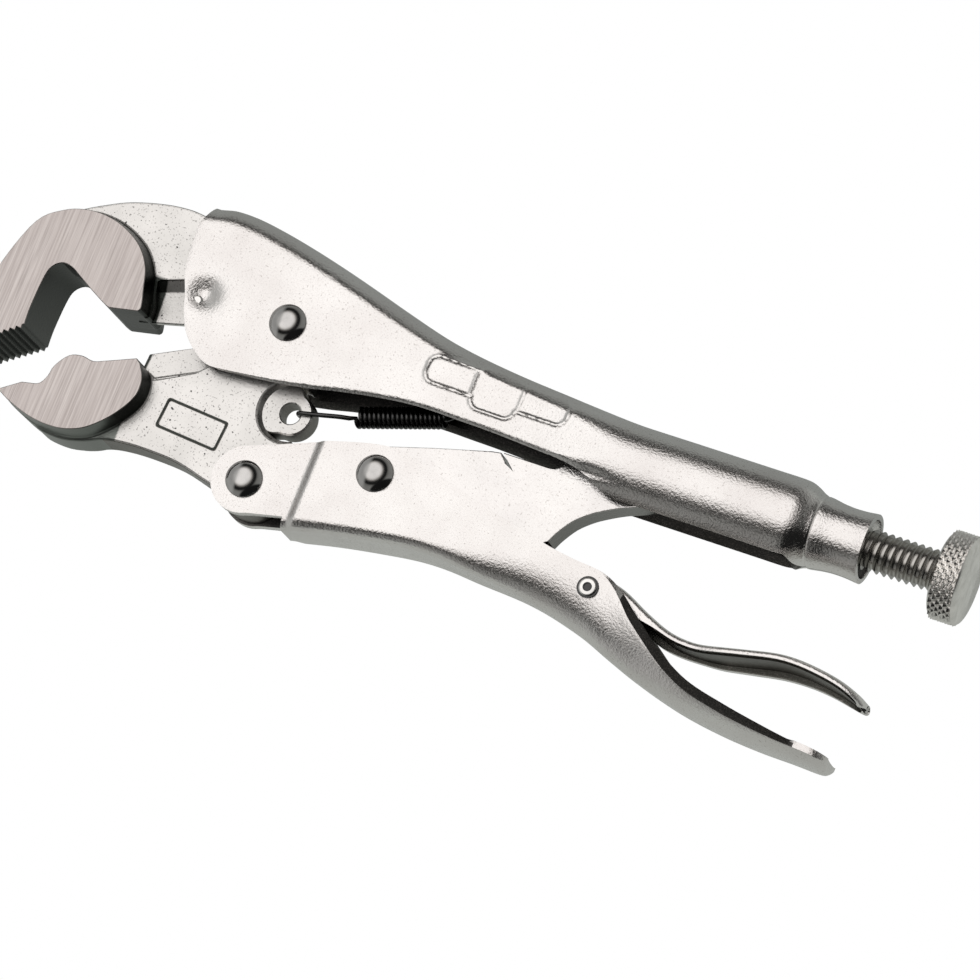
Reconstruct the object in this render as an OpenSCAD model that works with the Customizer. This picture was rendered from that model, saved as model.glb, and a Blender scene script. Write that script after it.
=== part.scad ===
// Locking pliers of the 7 inch class, lying on one side, locked.
// Plan: the screw runs along +X to the knob, +Y is the back of the upper
// handle, and +Z is the direction of every hinge pin. All lengths in mm.

/* [Jaws] */
// thickness of the jaw heads over their ground faces
jaw_head_t = 14.4; // [12:0.2:16]
// thickness of the forged webs behind the heads
jaw_web_t = 6.8; // [5:0.2:8]
// thickness of the jaw roots inside the upper handle
jaw_root_t = 9.9; // [9:0.1:10]
// pitch of the nose teeth along the bite
tooth_pitch = 1.2; // [0.8:0.1:2]
// depth of the nose teeth
tooth_depth = 0.6; // [0.3:0.1:1]

/* [Upper handle] */
// width over the two walls
upper_w = 14; // [12:0.5:18]
// sheet thickness of both handles
sheet_t = 1.9; // [1.5:0.1:2.5]
// outside diameter of the rolled tube
tube_od = 16.4; // [14:0.2:18]
// outside diameter of the threaded end collar
collar_od = 12.7; // [11:0.1:14]
// width of the open seam where the link enters the tube
seam_w = 7.4; // [6:0.2:9]

/* [Lower handle] */
// width over the channel walls
lower_w = 13; // [11:0.5:15]
// width over the front ears
ear_w = 10.8; // [10:0.2:12]

/* [Link and lever] */
// thickness of the toggle link
link_t = 5.5; // [4:0.5:7]
// width of the link boss between the channel walls
link_boss_w = 9.0; // [7:0.2:9.2]
// sheet thickness of the release lever
lever_t = 1.4; // [1:0.1:2]
// width of the lever between the channel walls
lever_w = 8.6; // [7:0.2:9]
// width of the lever under the finger
finger_w = 10.4; // [9:0.2:12]

/* [Rivets and pins] */
// shank diameter of the three rivets
rivet_d = 6; // [4:0.1:7]
// diameter of the domed rivet heads
rivet_head_d = 6.9; // [6.5:0.1:9]
// height of the domed rivet heads
rivet_head_h = 1.9; // [1:0.1:3]
// outside diameter of the hollow lever pin
lever_pin_d = 3.2; // [2.5:0.1:4]
// diameter of the rolled rim of the lever pin
lever_rim_d = 4.1; // [3.5:0.1:5]
// diameter of the pin that locates the fixed jaw
jaw_pin_d = 2.0; // [1.5:0.1:3]
// radial clearance of every pin in its bore
pin_gap = 0.03; // [0.01:0.01:0.1]

/* [Screw] */
// thread diameter, 5/16 inch
screw_d = 7.9; // [6:0.1:8]
// diameter of the plain point of the screw
point_d = 5.2; // [4:0.1:6]
// diameter of the knurled knob
knob_d = 16.4; // [14:0.2:20]
// width of the knurled knob
knob_w = 5.4; // [4:0.2:8]

/* [Spring] */
// outside diameter of the tension spring
spring_od = 4.1; // [3:0.1:5]
// wire diameter of the tension spring
spring_wire = 0.85; // [0.5:0.05:1.2]

/* [Hidden] */
$fn = 40;
// hinge centres, measured from the main rivet
main_c = [0, 0];
handle_c = [3, -29.3];
link_c = [26, -21];
lever_c = [70.5, -28.2];
jaw_pin_c = [-18.3, -1];
spring_hole_c = [5.3, -14.7];
strap_c = [41.8, 2.4];
// centre line of the screw and the tube
axis_y = -4.75;
// the whole part is moved so the origin is under the middle of its box
middle = [37.4, -13.75];
rest_z = upper_w / 2 + rivet_head_h;
// a cut runs this far past the face it opens
past = 1;
// stations along the screw line
tube_start_x = 62;
seam_end_x = 82.6;
tube_end_x = 103.5;
collar_start_x = 106;
collar_end_x = 113.8;
point_tip_x = 84.8;
point_end_x = 87.8;
knob_x = 127.4;

// A smooth line through hand-placed points, n steps to each span.
function smooth(p, n = 4) = concat(
    [for (i = [0:len(p) - 2])
        let (a = p[max(i - 1, 0)], b = p[i], c = p[i + 1])
        let (d = p[min(i + 2, len(p) - 1)])
        for (k = [0:n - 1])
            let (t = k / n)
            b + (c - a) * t / 2
              + (2 * a - 5 * b + 4 * c - d) * t * t / 2
              + (3 * b - a - 3 * c + d) * t * t * t / 2],
    [p[len(p) - 1]]);

// An arc about c from angle a to angle b.
function arc(c, r, a, b, n = 12) =
    [for (k = [0:n])
        let (w = a + (b - a) * k / n)
        c + r * [cos(w), sin(w)]];

// The whole part stands on z = 0 with its box centred over the origin.
module placed() {
    translate([-middle[0], -middle[1], rest_z])
        children();
}

// A plate of thickness t, half on each side of the middle plane.
module plate(t, outline) {
    translate([0, 0, -t / 2])
        linear_extrude(t)
            polygon(outline);
}

// A round bar through the middle plane at c.
module bar(c, d, len) {
    translate([c[0], c[1], -len / 2])
        cylinder(h = len, d = d);
}

// A rivet: shank between two domed heads.
module domed_rivet(c, grip) {
    dome_r = (pow(rivet_head_d / 2, 2) + pow(rivet_head_h, 2)) / (2 * rivet_head_h);
    bar(c, rivet_d, grip + past);
    for (side = [0, 1])
        mirror([0, 0, side])
            translate([c[0], c[1], grip / 2])
                intersection() {
                    translate([0, 0, rivet_head_h - dome_r])
                        sphere(r = dome_r, $fn = 48);
                    cylinder(h = rivet_head_h + past, d = rivet_head_d + past);
                }
}

// ---- upper handle: one stamping, a channel in front and a tube behind ----

// Back line of the upper handle, d under the outer skin.
function back_line(d) = smooth(
    [[-22.3, 16.9 - d], [-18.5, 17.6 - d], [-14, 17.5 - d], [-8.4, 16.6 - d],
     [-2.2, 15.3 - d], [4.3, 13.7 - d], [10.9, 11.9 - d], [19.5, 9.4 - d],
     [28, 7.1 - d], [34.3, 5.9 - d], [42.2, 4.9 - d], [50, 4.2 - d],
     [58, 3.7 - d], [66, 3.45 - d]]);

// Front edge and open bottom edge of the walls, from the back to the front.
function wall_edge() = concat(
    smooth([[66, -11], [62.6, -9.4], [59.3, -8.5], [51.5, -7.8], [43.8, -7.3],
            [36.3, -7.1], [29.2, -7], [23, -7.5], [14, -8.9], [8.8, -10],
            [1.6, -11.1], [-5.8, -11.8], [-9.2, -12], [-12.1, -11.6],
            [-15.3, -9.5], [-17.9, -6.6], [-19.4, -3.6], [-20.9, 0.5],
            [-22.3, 4.2], [-23, 8.2], [-23.3, 12.3], [-22.9, 15.8]], 3));

module upper_handle() placed() {
    inner_w = upper_w - 2 * sheet_t;
    slot_w = 3.4;
    slot_x = [39.6, 44];
    cut_d = 60;
    color([0.78, 0.77, 0.75]) {
        difference() {
            union() {
                plate(upper_w, concat(back_line(0), wall_edge()));
                translate([tube_start_x, axis_y, 0])
                    rotate([0, 90, 0])
                        cylinder(h = tube_end_x - tube_start_x, d = tube_od, $fn = 64);
                translate([tube_end_x, axis_y, 0])
                    rotate([0, 90, 0])
                        cylinder(h = collar_start_x - tube_end_x, d1 = tube_od,
                                 d2 = collar_od, $fn = 64);
                translate([collar_start_x, axis_y, 0])
                    rotate([0, 90, 0])
                        cylinder(h = collar_end_x - collar_start_x, d = collar_od, $fn = 64);
            }
            // the room between the walls, under the back
            plate(inner_w, concat(
                [[-cut_d, 14.4]],
                back_line(sheet_t),
                [[66, -cut_d], [-cut_d, -cut_d]]));
            // the inside of the tube
            translate([tube_start_x - past, axis_y, 0])
                rotate([0, 90, 0])
                    cylinder(h = tube_end_x - tube_start_x, d = tube_od - 2 * sheet_t, $fn = 64);
            // the bottom of the tube is slit where the link swings through
            translate([tube_start_x - past, axis_y - cut_d, -seam_w / 2])
                cube([seam_end_x - tube_start_x + past, cut_d, seam_w]);
            // the thread in the collar, at its crest diameter
            translate([tube_end_x - 2 * past, axis_y, 0])
                rotate([0, 90, 0])
                    cylinder(h = collar_end_x, d = screw_d + 4 * pin_gap, $fn = 64);
            // the slot over the spring strap
            for (x = slot_x)
                translate([x, 0, 0])
                    rotate([-90, 0, 0])
                        cylinder(h = cut_d, d = slot_w);
            translate([slot_x[0], 0, -slot_w / 2])
                cube([slot_x[1] - slot_x[0], cut_d, slot_w]);
            bar(main_c, rivet_d + 2 * pin_gap, upper_w + past);
            bar(jaw_pin_c, jaw_pin_d + 2 * pin_gap, upper_w + past);
        }
        // the strap that the spring is hooked over
        bar(strap_c, 1.7, inner_w - 2);
    }
}

// ---- jaws ----

// A jaw's ground head is the full thickness, its skirt the web's.
tooth_line = [[-55.6, -21.8], [-47.3, -16.1]];

// Teeth along the bite, one valley and one crest to each pitch.
function teeth(a, b) =
    let (len = norm(b - a), n = floor(len / tooth_pitch))
    let (u = (b - a) / len, v = [u[1], -u[0]])
    [for (k = [0:n - 1], s = [0, 1])
        b - u * (k * tooth_pitch + s * tooth_pitch / 3) + v * (s == 0 ? -tooth_depth : 0)];

// A blade bevel: everything on the outer side of a plane that leans in
// towards the edge line a-b, cut from both faces.
module bevel(a, b, edge_t, lean) {
    run = norm(b - a);
    turn = atan2(b[1] - a[1], b[0] - a[0]);
    for (side = [0, 1])
        mirror([0, 0, side])
            translate([a[0], a[1], edge_t / 2])
                rotate([0, 0, turn])
                    rotate([lean, 0, 0])
                        translate([0, -10, 0])
                            cube([run, 20, 8]);
}

module fixed_jaw() placed() {
    head = concat(
        teeth(tooth_line[0], tooth_line[1]),
        smooth([[-55.6, -21.8], [-57.2, -17], [-57.9, -11.5], [-56.9, -5.4],
                [-53.1, 3.5], [-48.8, 7.1], [-44.5, 8.5], [-40.3, 8.5],
                [-36.3, 7.4], [-32.4, 5.1], [-29.7, 1.7], [-28.4, -2.2], [-27.4, -5.7]]),
        [[-27.8, -6.6]],
        smooth([[-33.1, -7.6], [-34.4, -7.2], [-37.9, -5.4], [-41.1, -3.6],
                [-43, -2.6], [-45, -2.4], [-46.7, -3.8], [-47.3, -6.4],
                [-47.5, -12], [-47.3, -15.4]]));
    skirt = concat(
        smooth([[-55, -20.6], [-57.6, -12], [-56.9, -5.4], [-53.3, 4.3],
                [-48, 8.6], [-43, 11.4], [-38.3, 13.4], [-32, 14.9], [-27, 15.3], [-23.4, 14.9]]),
        [[-20.6, 14.4], [-20.6, 2.4], [-22, -5.8], [-24.9, -6.9], [-28.2, -7.9]],
        smooth([[-33.4, -8.6], [-37.2, -6.6], [-41, -4.6], [-44.8, -3.4],
                [-46.3, -5.4], [-46.5, -12], [-46.3, -15.9]]));
    root = concat(
        [[-21, 14.4], [-13, 15], [-6, 13.6]],
        arc(main_c, 9.6, 110, 190),
        [[-13.6, -4.6], [-21, -5.2]]);
    color([0.72, 0.68, 0.66])
        difference() {
            union() {
                plate(jaw_head_t, head);
                plate(jaw_web_t, skirt);
                plate(jaw_root_t, root);
            }
            bevel([-27.6, -6.6], [-20.6, -4.4], 1.2, 20);
            bar(jaw_pin_c, jaw_pin_d + 2 * pin_gap, upper_w);
        }
}

module fixed_jaw_pin() placed() {
    color([0.86, 0.85, 0.83])
        bar(jaw_pin_c, jaw_pin_d, upper_w - 0.2);
}

module lower_jaw() placed() {
    head = concat(
        [[-47.2, -28.3], [-43.4, -25.7]],
        smooth([[-41.9, -25.4], [-40.2, -24.9], [-39.2, -23.2], [-38.7, -20.9],
                [-36.8, -18.3], [-34.4, -17.6], [-32, -17.9], [-29.5, -17],
                [-24.4, -14.9]]),
        smooth([[-23.4, -15.6], [-22, -18], [-21.7, -21], [-22.9, -23.9],
                [-25.4, -27.2], [-28.5, -29.9], [-31.4, -31.2], [-34.2, -31.7],
                [-37.6, -31.6], [-41, -30.9], [-44.7, -29.6], [-47.2, -28.3]]));
    web = concat(
        smooth([[-46.8, -28.6], [-42.5, -31], [-38, -32.4], [-33.6, -32.7],
                [-29.5, -31.8], [-26, -30.4], [-22, -29.8], [-17, -29.7],
                [-11, -30.1], [-5.6, -31.4]]),
        arc(handle_c, 5.8, 210, 375),
        [[8.9, -21.5]],
        arc(spring_hole_c, 3.9, -35, 60),
        [[5.4, -5], [-7, -3]],
        [[-17.1, -8.9], [-23.1, -12], [-24.2, -14]],
        smooth([[-24.4, -15.8], [-29.5, -18], [-34.4, -18.6], [-36.2, -19.2],
                [-37.6, -21.4], [-38.4, -24], [-40, -26], [-43.2, -26.9]]));
    boss_t = upper_w - 2 * sheet_t - 0.2;
    boss_d = 16.8;
    recess_d = 11.4;
    recess_h = 1.1;
    color([0.74, 0.7, 0.67])
        difference() {
            union() {
                plate(jaw_head_t, head);
                plate(jaw_web_t, web);
                bar(main_c, boss_d, boss_t);
            }
            bevel([-17.1, -8.9], [-23.1, -12], 1.2, 24);
            for (side = [0, 1])
                mirror([0, 0, side])
                    translate([spring_hole_c[0], spring_hole_c[1], jaw_web_t / 2 - recess_h])
                        difference() {
                            cylinder(h = 5, d = recess_d);
                            translate([-spring_hole_c[0], -spring_hole_c[1], -past])
                                cylinder(h = 9, d = boss_d + past);
                        }
            bar(spring_hole_c, 3.9, jaw_head_t);
            bar(main_c, rivet_d + 2 * pin_gap, jaw_head_t);
            bar(handle_c, rivet_d + 2 * pin_gap, jaw_head_t);
        }
}

module main_rivet() placed() {
    color([0.3, 0.3, 0.3])
        domed_rivet(main_c, upper_w);
}

// ---- lower handle: a channel open towards the upper handle ----

// Bottom line of the lower handle, d above the outer skin.
function belly_line(d) = smooth(
    [[12.4, -35.7 + d], [21.3, -33.8 + d], [29.2, -32.5 + d], [36.3, -31.6 + d],
     [42, -31.5 + d], [47.8, -32 + d], [59.7, -33.2 + d], [70, -35.6 + d],
     [77, -38.2 + d], [82, -40 + d], [88, -41.8 + d], [94, -43.2 + d],
     [101, -44.2 + d], [108, -44.7 + d], [115, -44.8 + d], [121.2, -45.2 + d]]);

// Top edge of its walls, from the tip to the ears.
function rim_line() = smooth(
    [[121.4, -43], [117.5, -43], [114, -42.2], [107.6, -41.1], [101, -39.9],
     [93.4, -38.1], [88, -35.5], [83.4, -32.3], [79.3, -29.2], [76.6, -27],
     [74, -25.5], [71.3, -24.7], [66, -24.2], [60.9, -23.4], [50.7, -21.1],
     [43.7, -19.4], [38, -17.9], [32.3, -16.3], [28.9, -15.6], [26, -15.6],
     [22, -16.3], [14, -18.5]], 3);

module lower_handle() placed() {
    joggle_x = 14.4;
    floor_x = 13.6;
    cut_d = 60;
    ear_gap = 0.1;
    tip_cut = 17;
    color([0.76, 0.75, 0.73])
        difference() {
            union() {
                intersection() {
                    plate(lower_w, concat(belly_line(0), rim_line()));
                    translate([joggle_x - 0.6, -cut_d, -cut_d])
                        cube([2 * cut_d, 2 * cut_d, 2 * cut_d]);
                }
                plate(ear_w, concat(
                    [[17, -34.6], [12.4, -35.7], [10.2, -34.6], [7, -35.1]],
                    arc(handle_c, 6.3, 285, 118),
                    [[10.3, -19.6], [17, -17.7]]));
            }
            // the room inside the channel
            intersection() {
                plate(lower_w - 2 * sheet_t, concat(belly_line(sheet_t), [[124, cut_d], [12.4, cut_d]]));
                translate([joggle_x, -cut_d, -cut_d])
                    cube([2 * cut_d, 2 * cut_d, 2 * cut_d]);
            }
            // the room between the ears, open below in front of the floor
            plate(jaw_web_t + 2 * ear_gap, [[-5, -50], [floor_x, -50], [floor_x, -33.4],
                                            [20, -32], [20, 0], [-5, 0]]);
            // the corners of the tip are rounded off in plan
            for (side = [0, 1])
                mirror([0, 0, side])
                    translate([115.4, 0, lower_w / 2])
                        rotate([90, 0, 0])
                            difference() {
                                cube([past + tip_cut, past + tip_cut, 2 * cut_d]);
                                translate([0, -6, -past])
                                    cylinder(h = 3 * cut_d, r = 6);
                            }
            bar(handle_c, rivet_d + 2 * pin_gap, lower_w + past);
            bar(link_c, rivet_d + 2 * pin_gap, lower_w + past);
            bar(lever_c, lever_pin_d + 2 * pin_gap, lower_w + past);
        }
}

module handle_rivet() placed() {
    color([0.3, 0.3, 0.3])
        domed_rivet(handle_c, ear_w);
}

module link_rivet() placed() {
    color([0.3, 0.3, 0.3])
        domed_rivet(link_c, lower_w);
}

// ---- toggle link, from the channel up into the tube ----
module toggle_link() placed() {
    outline = concat(
        arc(link_c, 6.2, 105, 275, 20),
        smooth([[34, -26.2], [44, -24.8], [53, -23.6], [58.3, -22.9]]),
        smooth([[59.5, -22], [60.4, -20.1], [62.2, -17.4], [64.5, -15.3],
                [66.8, -13.8], [69.6, -12.3], [72.3, -11.2], [76, -9.6]]),
        arc([77.9, -7.3], 2.4, -60, 110, 8),
        smooth([[72, -6.2], [64, -6], [58, -7], [55.4, -8.5], [53.6, -10.7],
                [51.4, -12.1], [48.5, -12.3], [46, -10.9], [44.2, -9.8]]),
        [[43.6, -9.7], [33, -12.5]]);
    color([0.8, 0.79, 0.77])
        difference() {
            union() {
                plate(link_t, outline);
                bar(link_c, 9.4, link_boss_w);
            }
            bar(link_c, rivet_d + 2 * pin_gap, lower_w);
        }
}

// ---- release lever: a shallow channel, hollow side down ----
module release_lever() placed() {
    outline = concat(
        arc([63.4, -26.5], 1.6, 100, 250, 8),
        [[67, -30.2]],
        arc(lever_c, 3, 230, 290, 6),
        smooth([[76, -30.6], [80, -30.9], [84.5, -32.5], [89, -33.2], [95, -33.1],
                [101, -32.2], [107, -31.2], [112, -31.2], [116.5, -32.2], [120.4, -33.3]]),
        [[123.2, -33.5], [124, -32.2]],
        smooth([[122.3, -30.7], [118.7, -29.4], [114.4, -28.4], [110.1, -27.9],
                [106.2, -28.1], [100.4, -29.3], [94.8, -30.5], [90.7, -30.9],
                [86.5, -30.4], [81.7, -28.6], [75.8, -25.9], [70.5, -24.9], [66, -24.8]]));
    under = smooth([[60, -28.4], [64, -26.4], [70.5, -26.5], [75.3, -27.4], [81.2, -30],
                    [86.2, -31.9], [90.7, -32.3], [94.8, -32], [100.4, -30.8],
                    [106.2, -29.6], [110.1, -29.4], [114.2, -29.9], [118.3, -30.9],
                    [121.4, -32.2], [123.4, -34.4]]);
    widen_x = 93.4;
    cut_d = 60;
    color([0.76, 0.75, 0.73])
        difference() {
            intersection() {
                plate(finger_w, outline);
                union() {
                    translate([0, -cut_d, -lever_w / 2])
                        cube([2 * widen_x, cut_d, lever_w]);
                    translate([widen_x, -cut_d, -finger_w / 2])
                        cube([cut_d, cut_d, finger_w]);
                }
            }
            intersection() {
                plate(finger_w - 2 * lever_t, concat(under, [[123.4, -cut_d], [60, -cut_d]]));
                union() {
                    translate([0, -cut_d, lever_t - lever_w / 2])
                        cube([2 * widen_x, cut_d, lever_w - 2 * lever_t]);
                    translate([widen_x + lever_t, -cut_d, -cut_d])
                        cube([cut_d, cut_d, 2 * cut_d]);
                }
            }
            bar(lever_c, lever_pin_d + 2 * pin_gap, lower_w);
            // the corners of the tongue are rounded off in plan
            for (side = [0, 1])
                mirror([0, 0, side])
                    translate([118.8, 0, finger_w / 2])
                        rotate([90, 0, 0])
                            difference() {
                                cube([past + finger_w, past + finger_w, cut_d]);
                                translate([0, -finger_w / 2, -past])
                                    cylinder(h = 2 * cut_d, r = finger_w / 2);
                            }
        }
}

// The lever turns on a hollow pin whose two ends are rolled over.
module lever_pin() placed() {
    rim_h = 0.35;
    hole_d = 1.3;
    color([0.7, 0.7, 0.68])
        difference() {
            union() {
                bar(lever_c, lever_pin_d, lower_w + rim_h);
                for (side = [0, 1])
                    mirror([0, 0, side])
                        translate([lever_c[0], lever_c[1], lower_w / 2])
                            cylinder(h = rim_h, d = lever_rim_d);
            }
            bar(lever_c, hole_d, lower_w + 2 * past);
        }
}

// ---- adjusting screw: point, thread and knob ----
module screw_tip() placed() {
    color([0.6, 0.6, 0.58])
        translate([point_tip_x, axis_y, 0])
            rotate([0, 90, 0]) {
                cylinder(h = 0.6, d1 = point_d - 1.2, d2 = point_d);
                translate([0, 0, 0.6])
                    cylinder(h = point_end_x - point_tip_x - 0.6, d = point_d);
            }
}

module adjusting_screw() placed() {
    gap = 0.02;
    lead_in = 0.8;
    stub_d = 5.8;
    stub_h = 4;
    color([0.55, 0.54, 0.52])
        translate([point_end_x + gap, axis_y, 0])
            rotate([0, 90, 0]) {
                cylinder(h = lead_in, d1 = point_d, d2 = screw_d, $fn = 64);
                translate([0, 0, lead_in])
                    cylinder(h = knob_x - point_end_x - gap - lead_in, d = screw_d, $fn = 64);
                cylinder(h = knob_x - point_end_x - gap + stub_h, d = stub_d);
            }
}

module knurled_knob() placed() {
    rim = 0.6;
    socket_d = 5.8;
    socket_h = 4.2;
    color([0.66, 0.65, 0.63])
        translate([knob_x, axis_y, 0])
            rotate([0, 90, 0])
                difference() {
                    union() {
                        cylinder(h = rim, d1 = knob_d - 2 * rim, d2 = knob_d, $fn = 72);
                        translate([0, 0, rim])
                            cylinder(h = knob_w - 2 * rim, d = knob_d, $fn = 72);
                        translate([0, 0, knob_w - rim])
                            cylinder(h = rim, d1 = knob_d, d2 = knob_d - 2 * rim, $fn = 72);
                    }
                    translate([0, 0, -past])
                        cylinder(h = socket_h + past, d = socket_d);
                }
}

// ---- tension spring: a close coil with a hook at each end ----

// A straight leg of wire from a to b, in the plane at height z. It is a hair
// thinner than the bends that it runs into.
module leg(a, b, z) {
    thinner = 0.08;
    translate([a[0], a[1], z])
        rotate([0, 0, atan2(b[1] - a[1], b[0] - a[0])])
            rotate([0, 90, 0])
                cylinder(h = norm(b - a), d = spring_wire - thinner, $fn = 24);
}

module tension_spring() placed() {
    coil_end = [32.4, -6.1];
    coil_len = 16.4;
    aim = (coil_end - spring_hole_c) / norm(coil_end - spring_hole_c);
    up = [-aim[1], aim[0]];
    coil_start = coil_end - coil_len * aim;
    coil_r = (spring_od - spring_wire) / 2;
    core_d = spring_od - 2 * spring_wire;
    // the front hook: its leg is on the near side of the jaw
    hook_c = spring_hole_c + 1.3 * aim;
    riser_c = coil_start + 0.6 * aim;
    side_z = 2.95;
    riser_h = side_z - coil_r + spring_wire / 2 + 0.05;
    // the rear hook: a ring round the strap
    ring_r = 1.35;
    to_coil = (coil_end - strap_c) / norm(coil_end - strap_c);
    color([0.12, 0.12, 0.12]) {
        translate([coil_start[0], coil_start[1], 0])
            rotate([0, 0, atan2(aim[1], aim[0])])
                rotate([0, 90, 0])
                    difference() {
                        cylinder(h = coil_len, d = spring_od);
                        translate([0, 0, -past])
                            cylinder(h = coil_len + 2 * past, d = core_d);
                    }
        leg(hook_c, riser_c, side_z);
        bar(hook_c, spring_wire, 2 * side_z + spring_wire + 0.1);
        translate([riser_c[0], riser_c[1], coil_r])
            cylinder(h = riser_h, d = spring_wire, $fn = 24);
        leg(coil_end + coil_r * up - aim, strap_c + ring_r * to_coil, 0);
        translate([strap_c[0], strap_c[1], 0])
            rotate_extrude()
                translate([ring_r, 0])
                    circle(d = spring_wire, $fn = 24);
    }
}

upper_handle();
fixed_jaw();
fixed_jaw_pin();
lower_jaw();
main_rivet();
lower_handle();
handle_rivet();
toggle_link();
link_rivet();
release_lever();
lever_pin();
screw_tip();
adjusting_screw();
knurled_knob();
tension_spring();
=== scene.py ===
import math
from bisect import bisect_right

import bmesh
import bpy
from mathutils import Matrix, Vector


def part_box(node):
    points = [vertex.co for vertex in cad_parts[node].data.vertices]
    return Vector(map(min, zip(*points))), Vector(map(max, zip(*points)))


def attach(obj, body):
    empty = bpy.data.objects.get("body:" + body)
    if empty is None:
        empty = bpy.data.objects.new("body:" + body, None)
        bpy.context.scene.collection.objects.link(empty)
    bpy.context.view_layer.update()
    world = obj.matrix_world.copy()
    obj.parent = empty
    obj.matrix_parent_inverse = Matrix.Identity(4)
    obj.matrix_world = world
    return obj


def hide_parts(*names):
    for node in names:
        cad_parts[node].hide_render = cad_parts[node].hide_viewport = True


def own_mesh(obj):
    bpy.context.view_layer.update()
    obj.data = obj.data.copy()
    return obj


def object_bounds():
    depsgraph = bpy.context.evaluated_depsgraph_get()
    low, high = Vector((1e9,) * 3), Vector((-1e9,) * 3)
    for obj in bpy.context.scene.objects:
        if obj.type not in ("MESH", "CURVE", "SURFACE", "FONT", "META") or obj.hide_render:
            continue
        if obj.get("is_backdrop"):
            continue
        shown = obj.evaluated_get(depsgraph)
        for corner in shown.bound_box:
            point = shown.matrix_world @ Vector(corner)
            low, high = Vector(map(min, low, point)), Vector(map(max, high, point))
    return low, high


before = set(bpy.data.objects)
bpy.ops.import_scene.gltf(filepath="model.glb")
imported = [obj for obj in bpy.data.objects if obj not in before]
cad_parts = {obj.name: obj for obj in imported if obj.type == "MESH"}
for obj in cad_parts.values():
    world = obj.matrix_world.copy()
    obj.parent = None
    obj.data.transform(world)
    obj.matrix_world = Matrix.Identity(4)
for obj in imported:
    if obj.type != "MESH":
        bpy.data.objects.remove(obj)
cad_low, cad_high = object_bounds()

# ---------------------------------------------------------------------------
# Upper handle: one stamping of 1.9 mm sheet steel, satin nickel plated. It is
# a channel over the jaws in front, is rolled into a tube behind, and necks
# down to the collar that carries the thread of the adjusting screw.
# ---------------------------------------------------------------------------

rivet_low, rivet_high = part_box("main_rivet")
hub = (rivet_low + rivet_high) / 2  # every length below is in mm from here
MM = 0.001


def spot(x, y, z=0.0):
    """A place in mm from the middle of the main rivet."""
    return hub + Vector((x, y, z)) * MM


def ease(start, end, x):
    """0 before start, 1 after end, and a smooth rise between them."""
    t = min(1.0, max(0.0, (x - start) / (end - start)))
    return t * t * (3 - 2 * t)


def height_along(points):
    """The smooth line through points, as its height at a station x."""
    xs = [p[0] for p in points]
    ys = [p[1] for p in points]
    last = len(points) - 1
    slopes = []
    for i in range(len(points)):
        a, b = max(i - 1, 0), min(i + 1, last)
        slopes.append((ys[b] - ys[a]) / (xs[b] - xs[a]))

    def height(x):
        x = min(max(x, xs[0]), xs[last])
        i = min(bisect_right(xs, x) - 1, last - 1)
        span = xs[i + 1] - xs[i]
        t = (x - xs[i]) / span
        return (ys[i] * (1 + 2 * t) * (1 - t) ** 2
                + slopes[i] * span * t * (1 - t) ** 2
                + ys[i + 1] * t * t * (3 - 2 * t)
                + slopes[i + 1] * span * t * t * (t - 1))

    return height


def through(points, steps=4):
    """A smooth open line through points, as more points."""
    last = len(points) - 1
    line = []
    for i in range(last):
        a, b = Vector(points[max(i - 1, 0)]), Vector(points[i])
        c, d = Vector(points[i + 1]), Vector(points[min(i + 2, last)])
        for k in range(steps):
            t = k / steps
            line.append(b + (c - a) * t / 2 + (2 * a - 5 * b + 4 * c - d) * t * t / 2
                        + (3 * b - a - 3 * c + d) * t ** 3 / 2)
    line.append(Vector(points[last]))
    return line


def at_share(line, share):
    """The place at a share of the way along a line of points."""
    lengths = [0.0]
    for a, b in zip(line, line[1:]):
        lengths.append(lengths[-1] + (b - a).length)
    want = share * lengths[-1]
    i = min(bisect_right(lengths, want) - 1, len(line) - 2)
    part = (want - lengths[i]) / (lengths[i + 1] - lengths[i])
    return line[i].lerp(line[i + 1], part)


def oval(centre, across, up, sides):
    """Places round an oval that has those two radii."""
    turns = [math.tau * k / sides for k in range(sides)]
    return [(centre[0] + across * math.cos(a), centre[1] + up * math.sin(a)) for a in turns]


merge_gap = 0.01 * MM


def skin(rows, wrap=False):
    """A sheet of four-sided faces through rows of places in mm."""
    bm = bmesh.new()
    grid = [[bm.verts.new(spot(*p)) for p in row] for row in rows]
    for a, b in zip(grid, grid[1:]):
        pairs = list(zip(range(len(a)), range(1, len(a))))
        if wrap:
            pairs.append((len(a) - 1, 0))
        for i, j in pairs:
            bm.faces.new((a[i], a[j], b[j], b[i]))
    bmesh.ops.remove_doubles(bm, verts=bm.verts, dist=merge_gap)
    return bm


def solid(name, bm, turn_out=True):
    """An object of that mesh, its faces turned outwards."""
    if turn_out:
        bmesh.ops.recalc_face_normals(bm, faces=bm.faces)
    mesh = bpy.data.meshes.new(name)
    bm.to_mesh(mesh)
    bm.free()
    made = bpy.data.objects.new(name, mesh)
    bpy.context.scene.collection.objects.link(made)
    return made


def settle(made, crease=35):
    """Modifiers become plain mesh, smooth except along edges past the crease."""
    bpy.context.view_layer.update()
    shaped = bpy.data.meshes.new_from_object(
        made.evaluated_get(bpy.context.evaluated_depsgraph_get()))
    shaped.name = made.name
    made.modifiers.clear()
    made.data = shaped
    shaped.shade_smooth()
    shaped.set_sharp_from_angle(angle=math.radians(crease))
    return made


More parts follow.
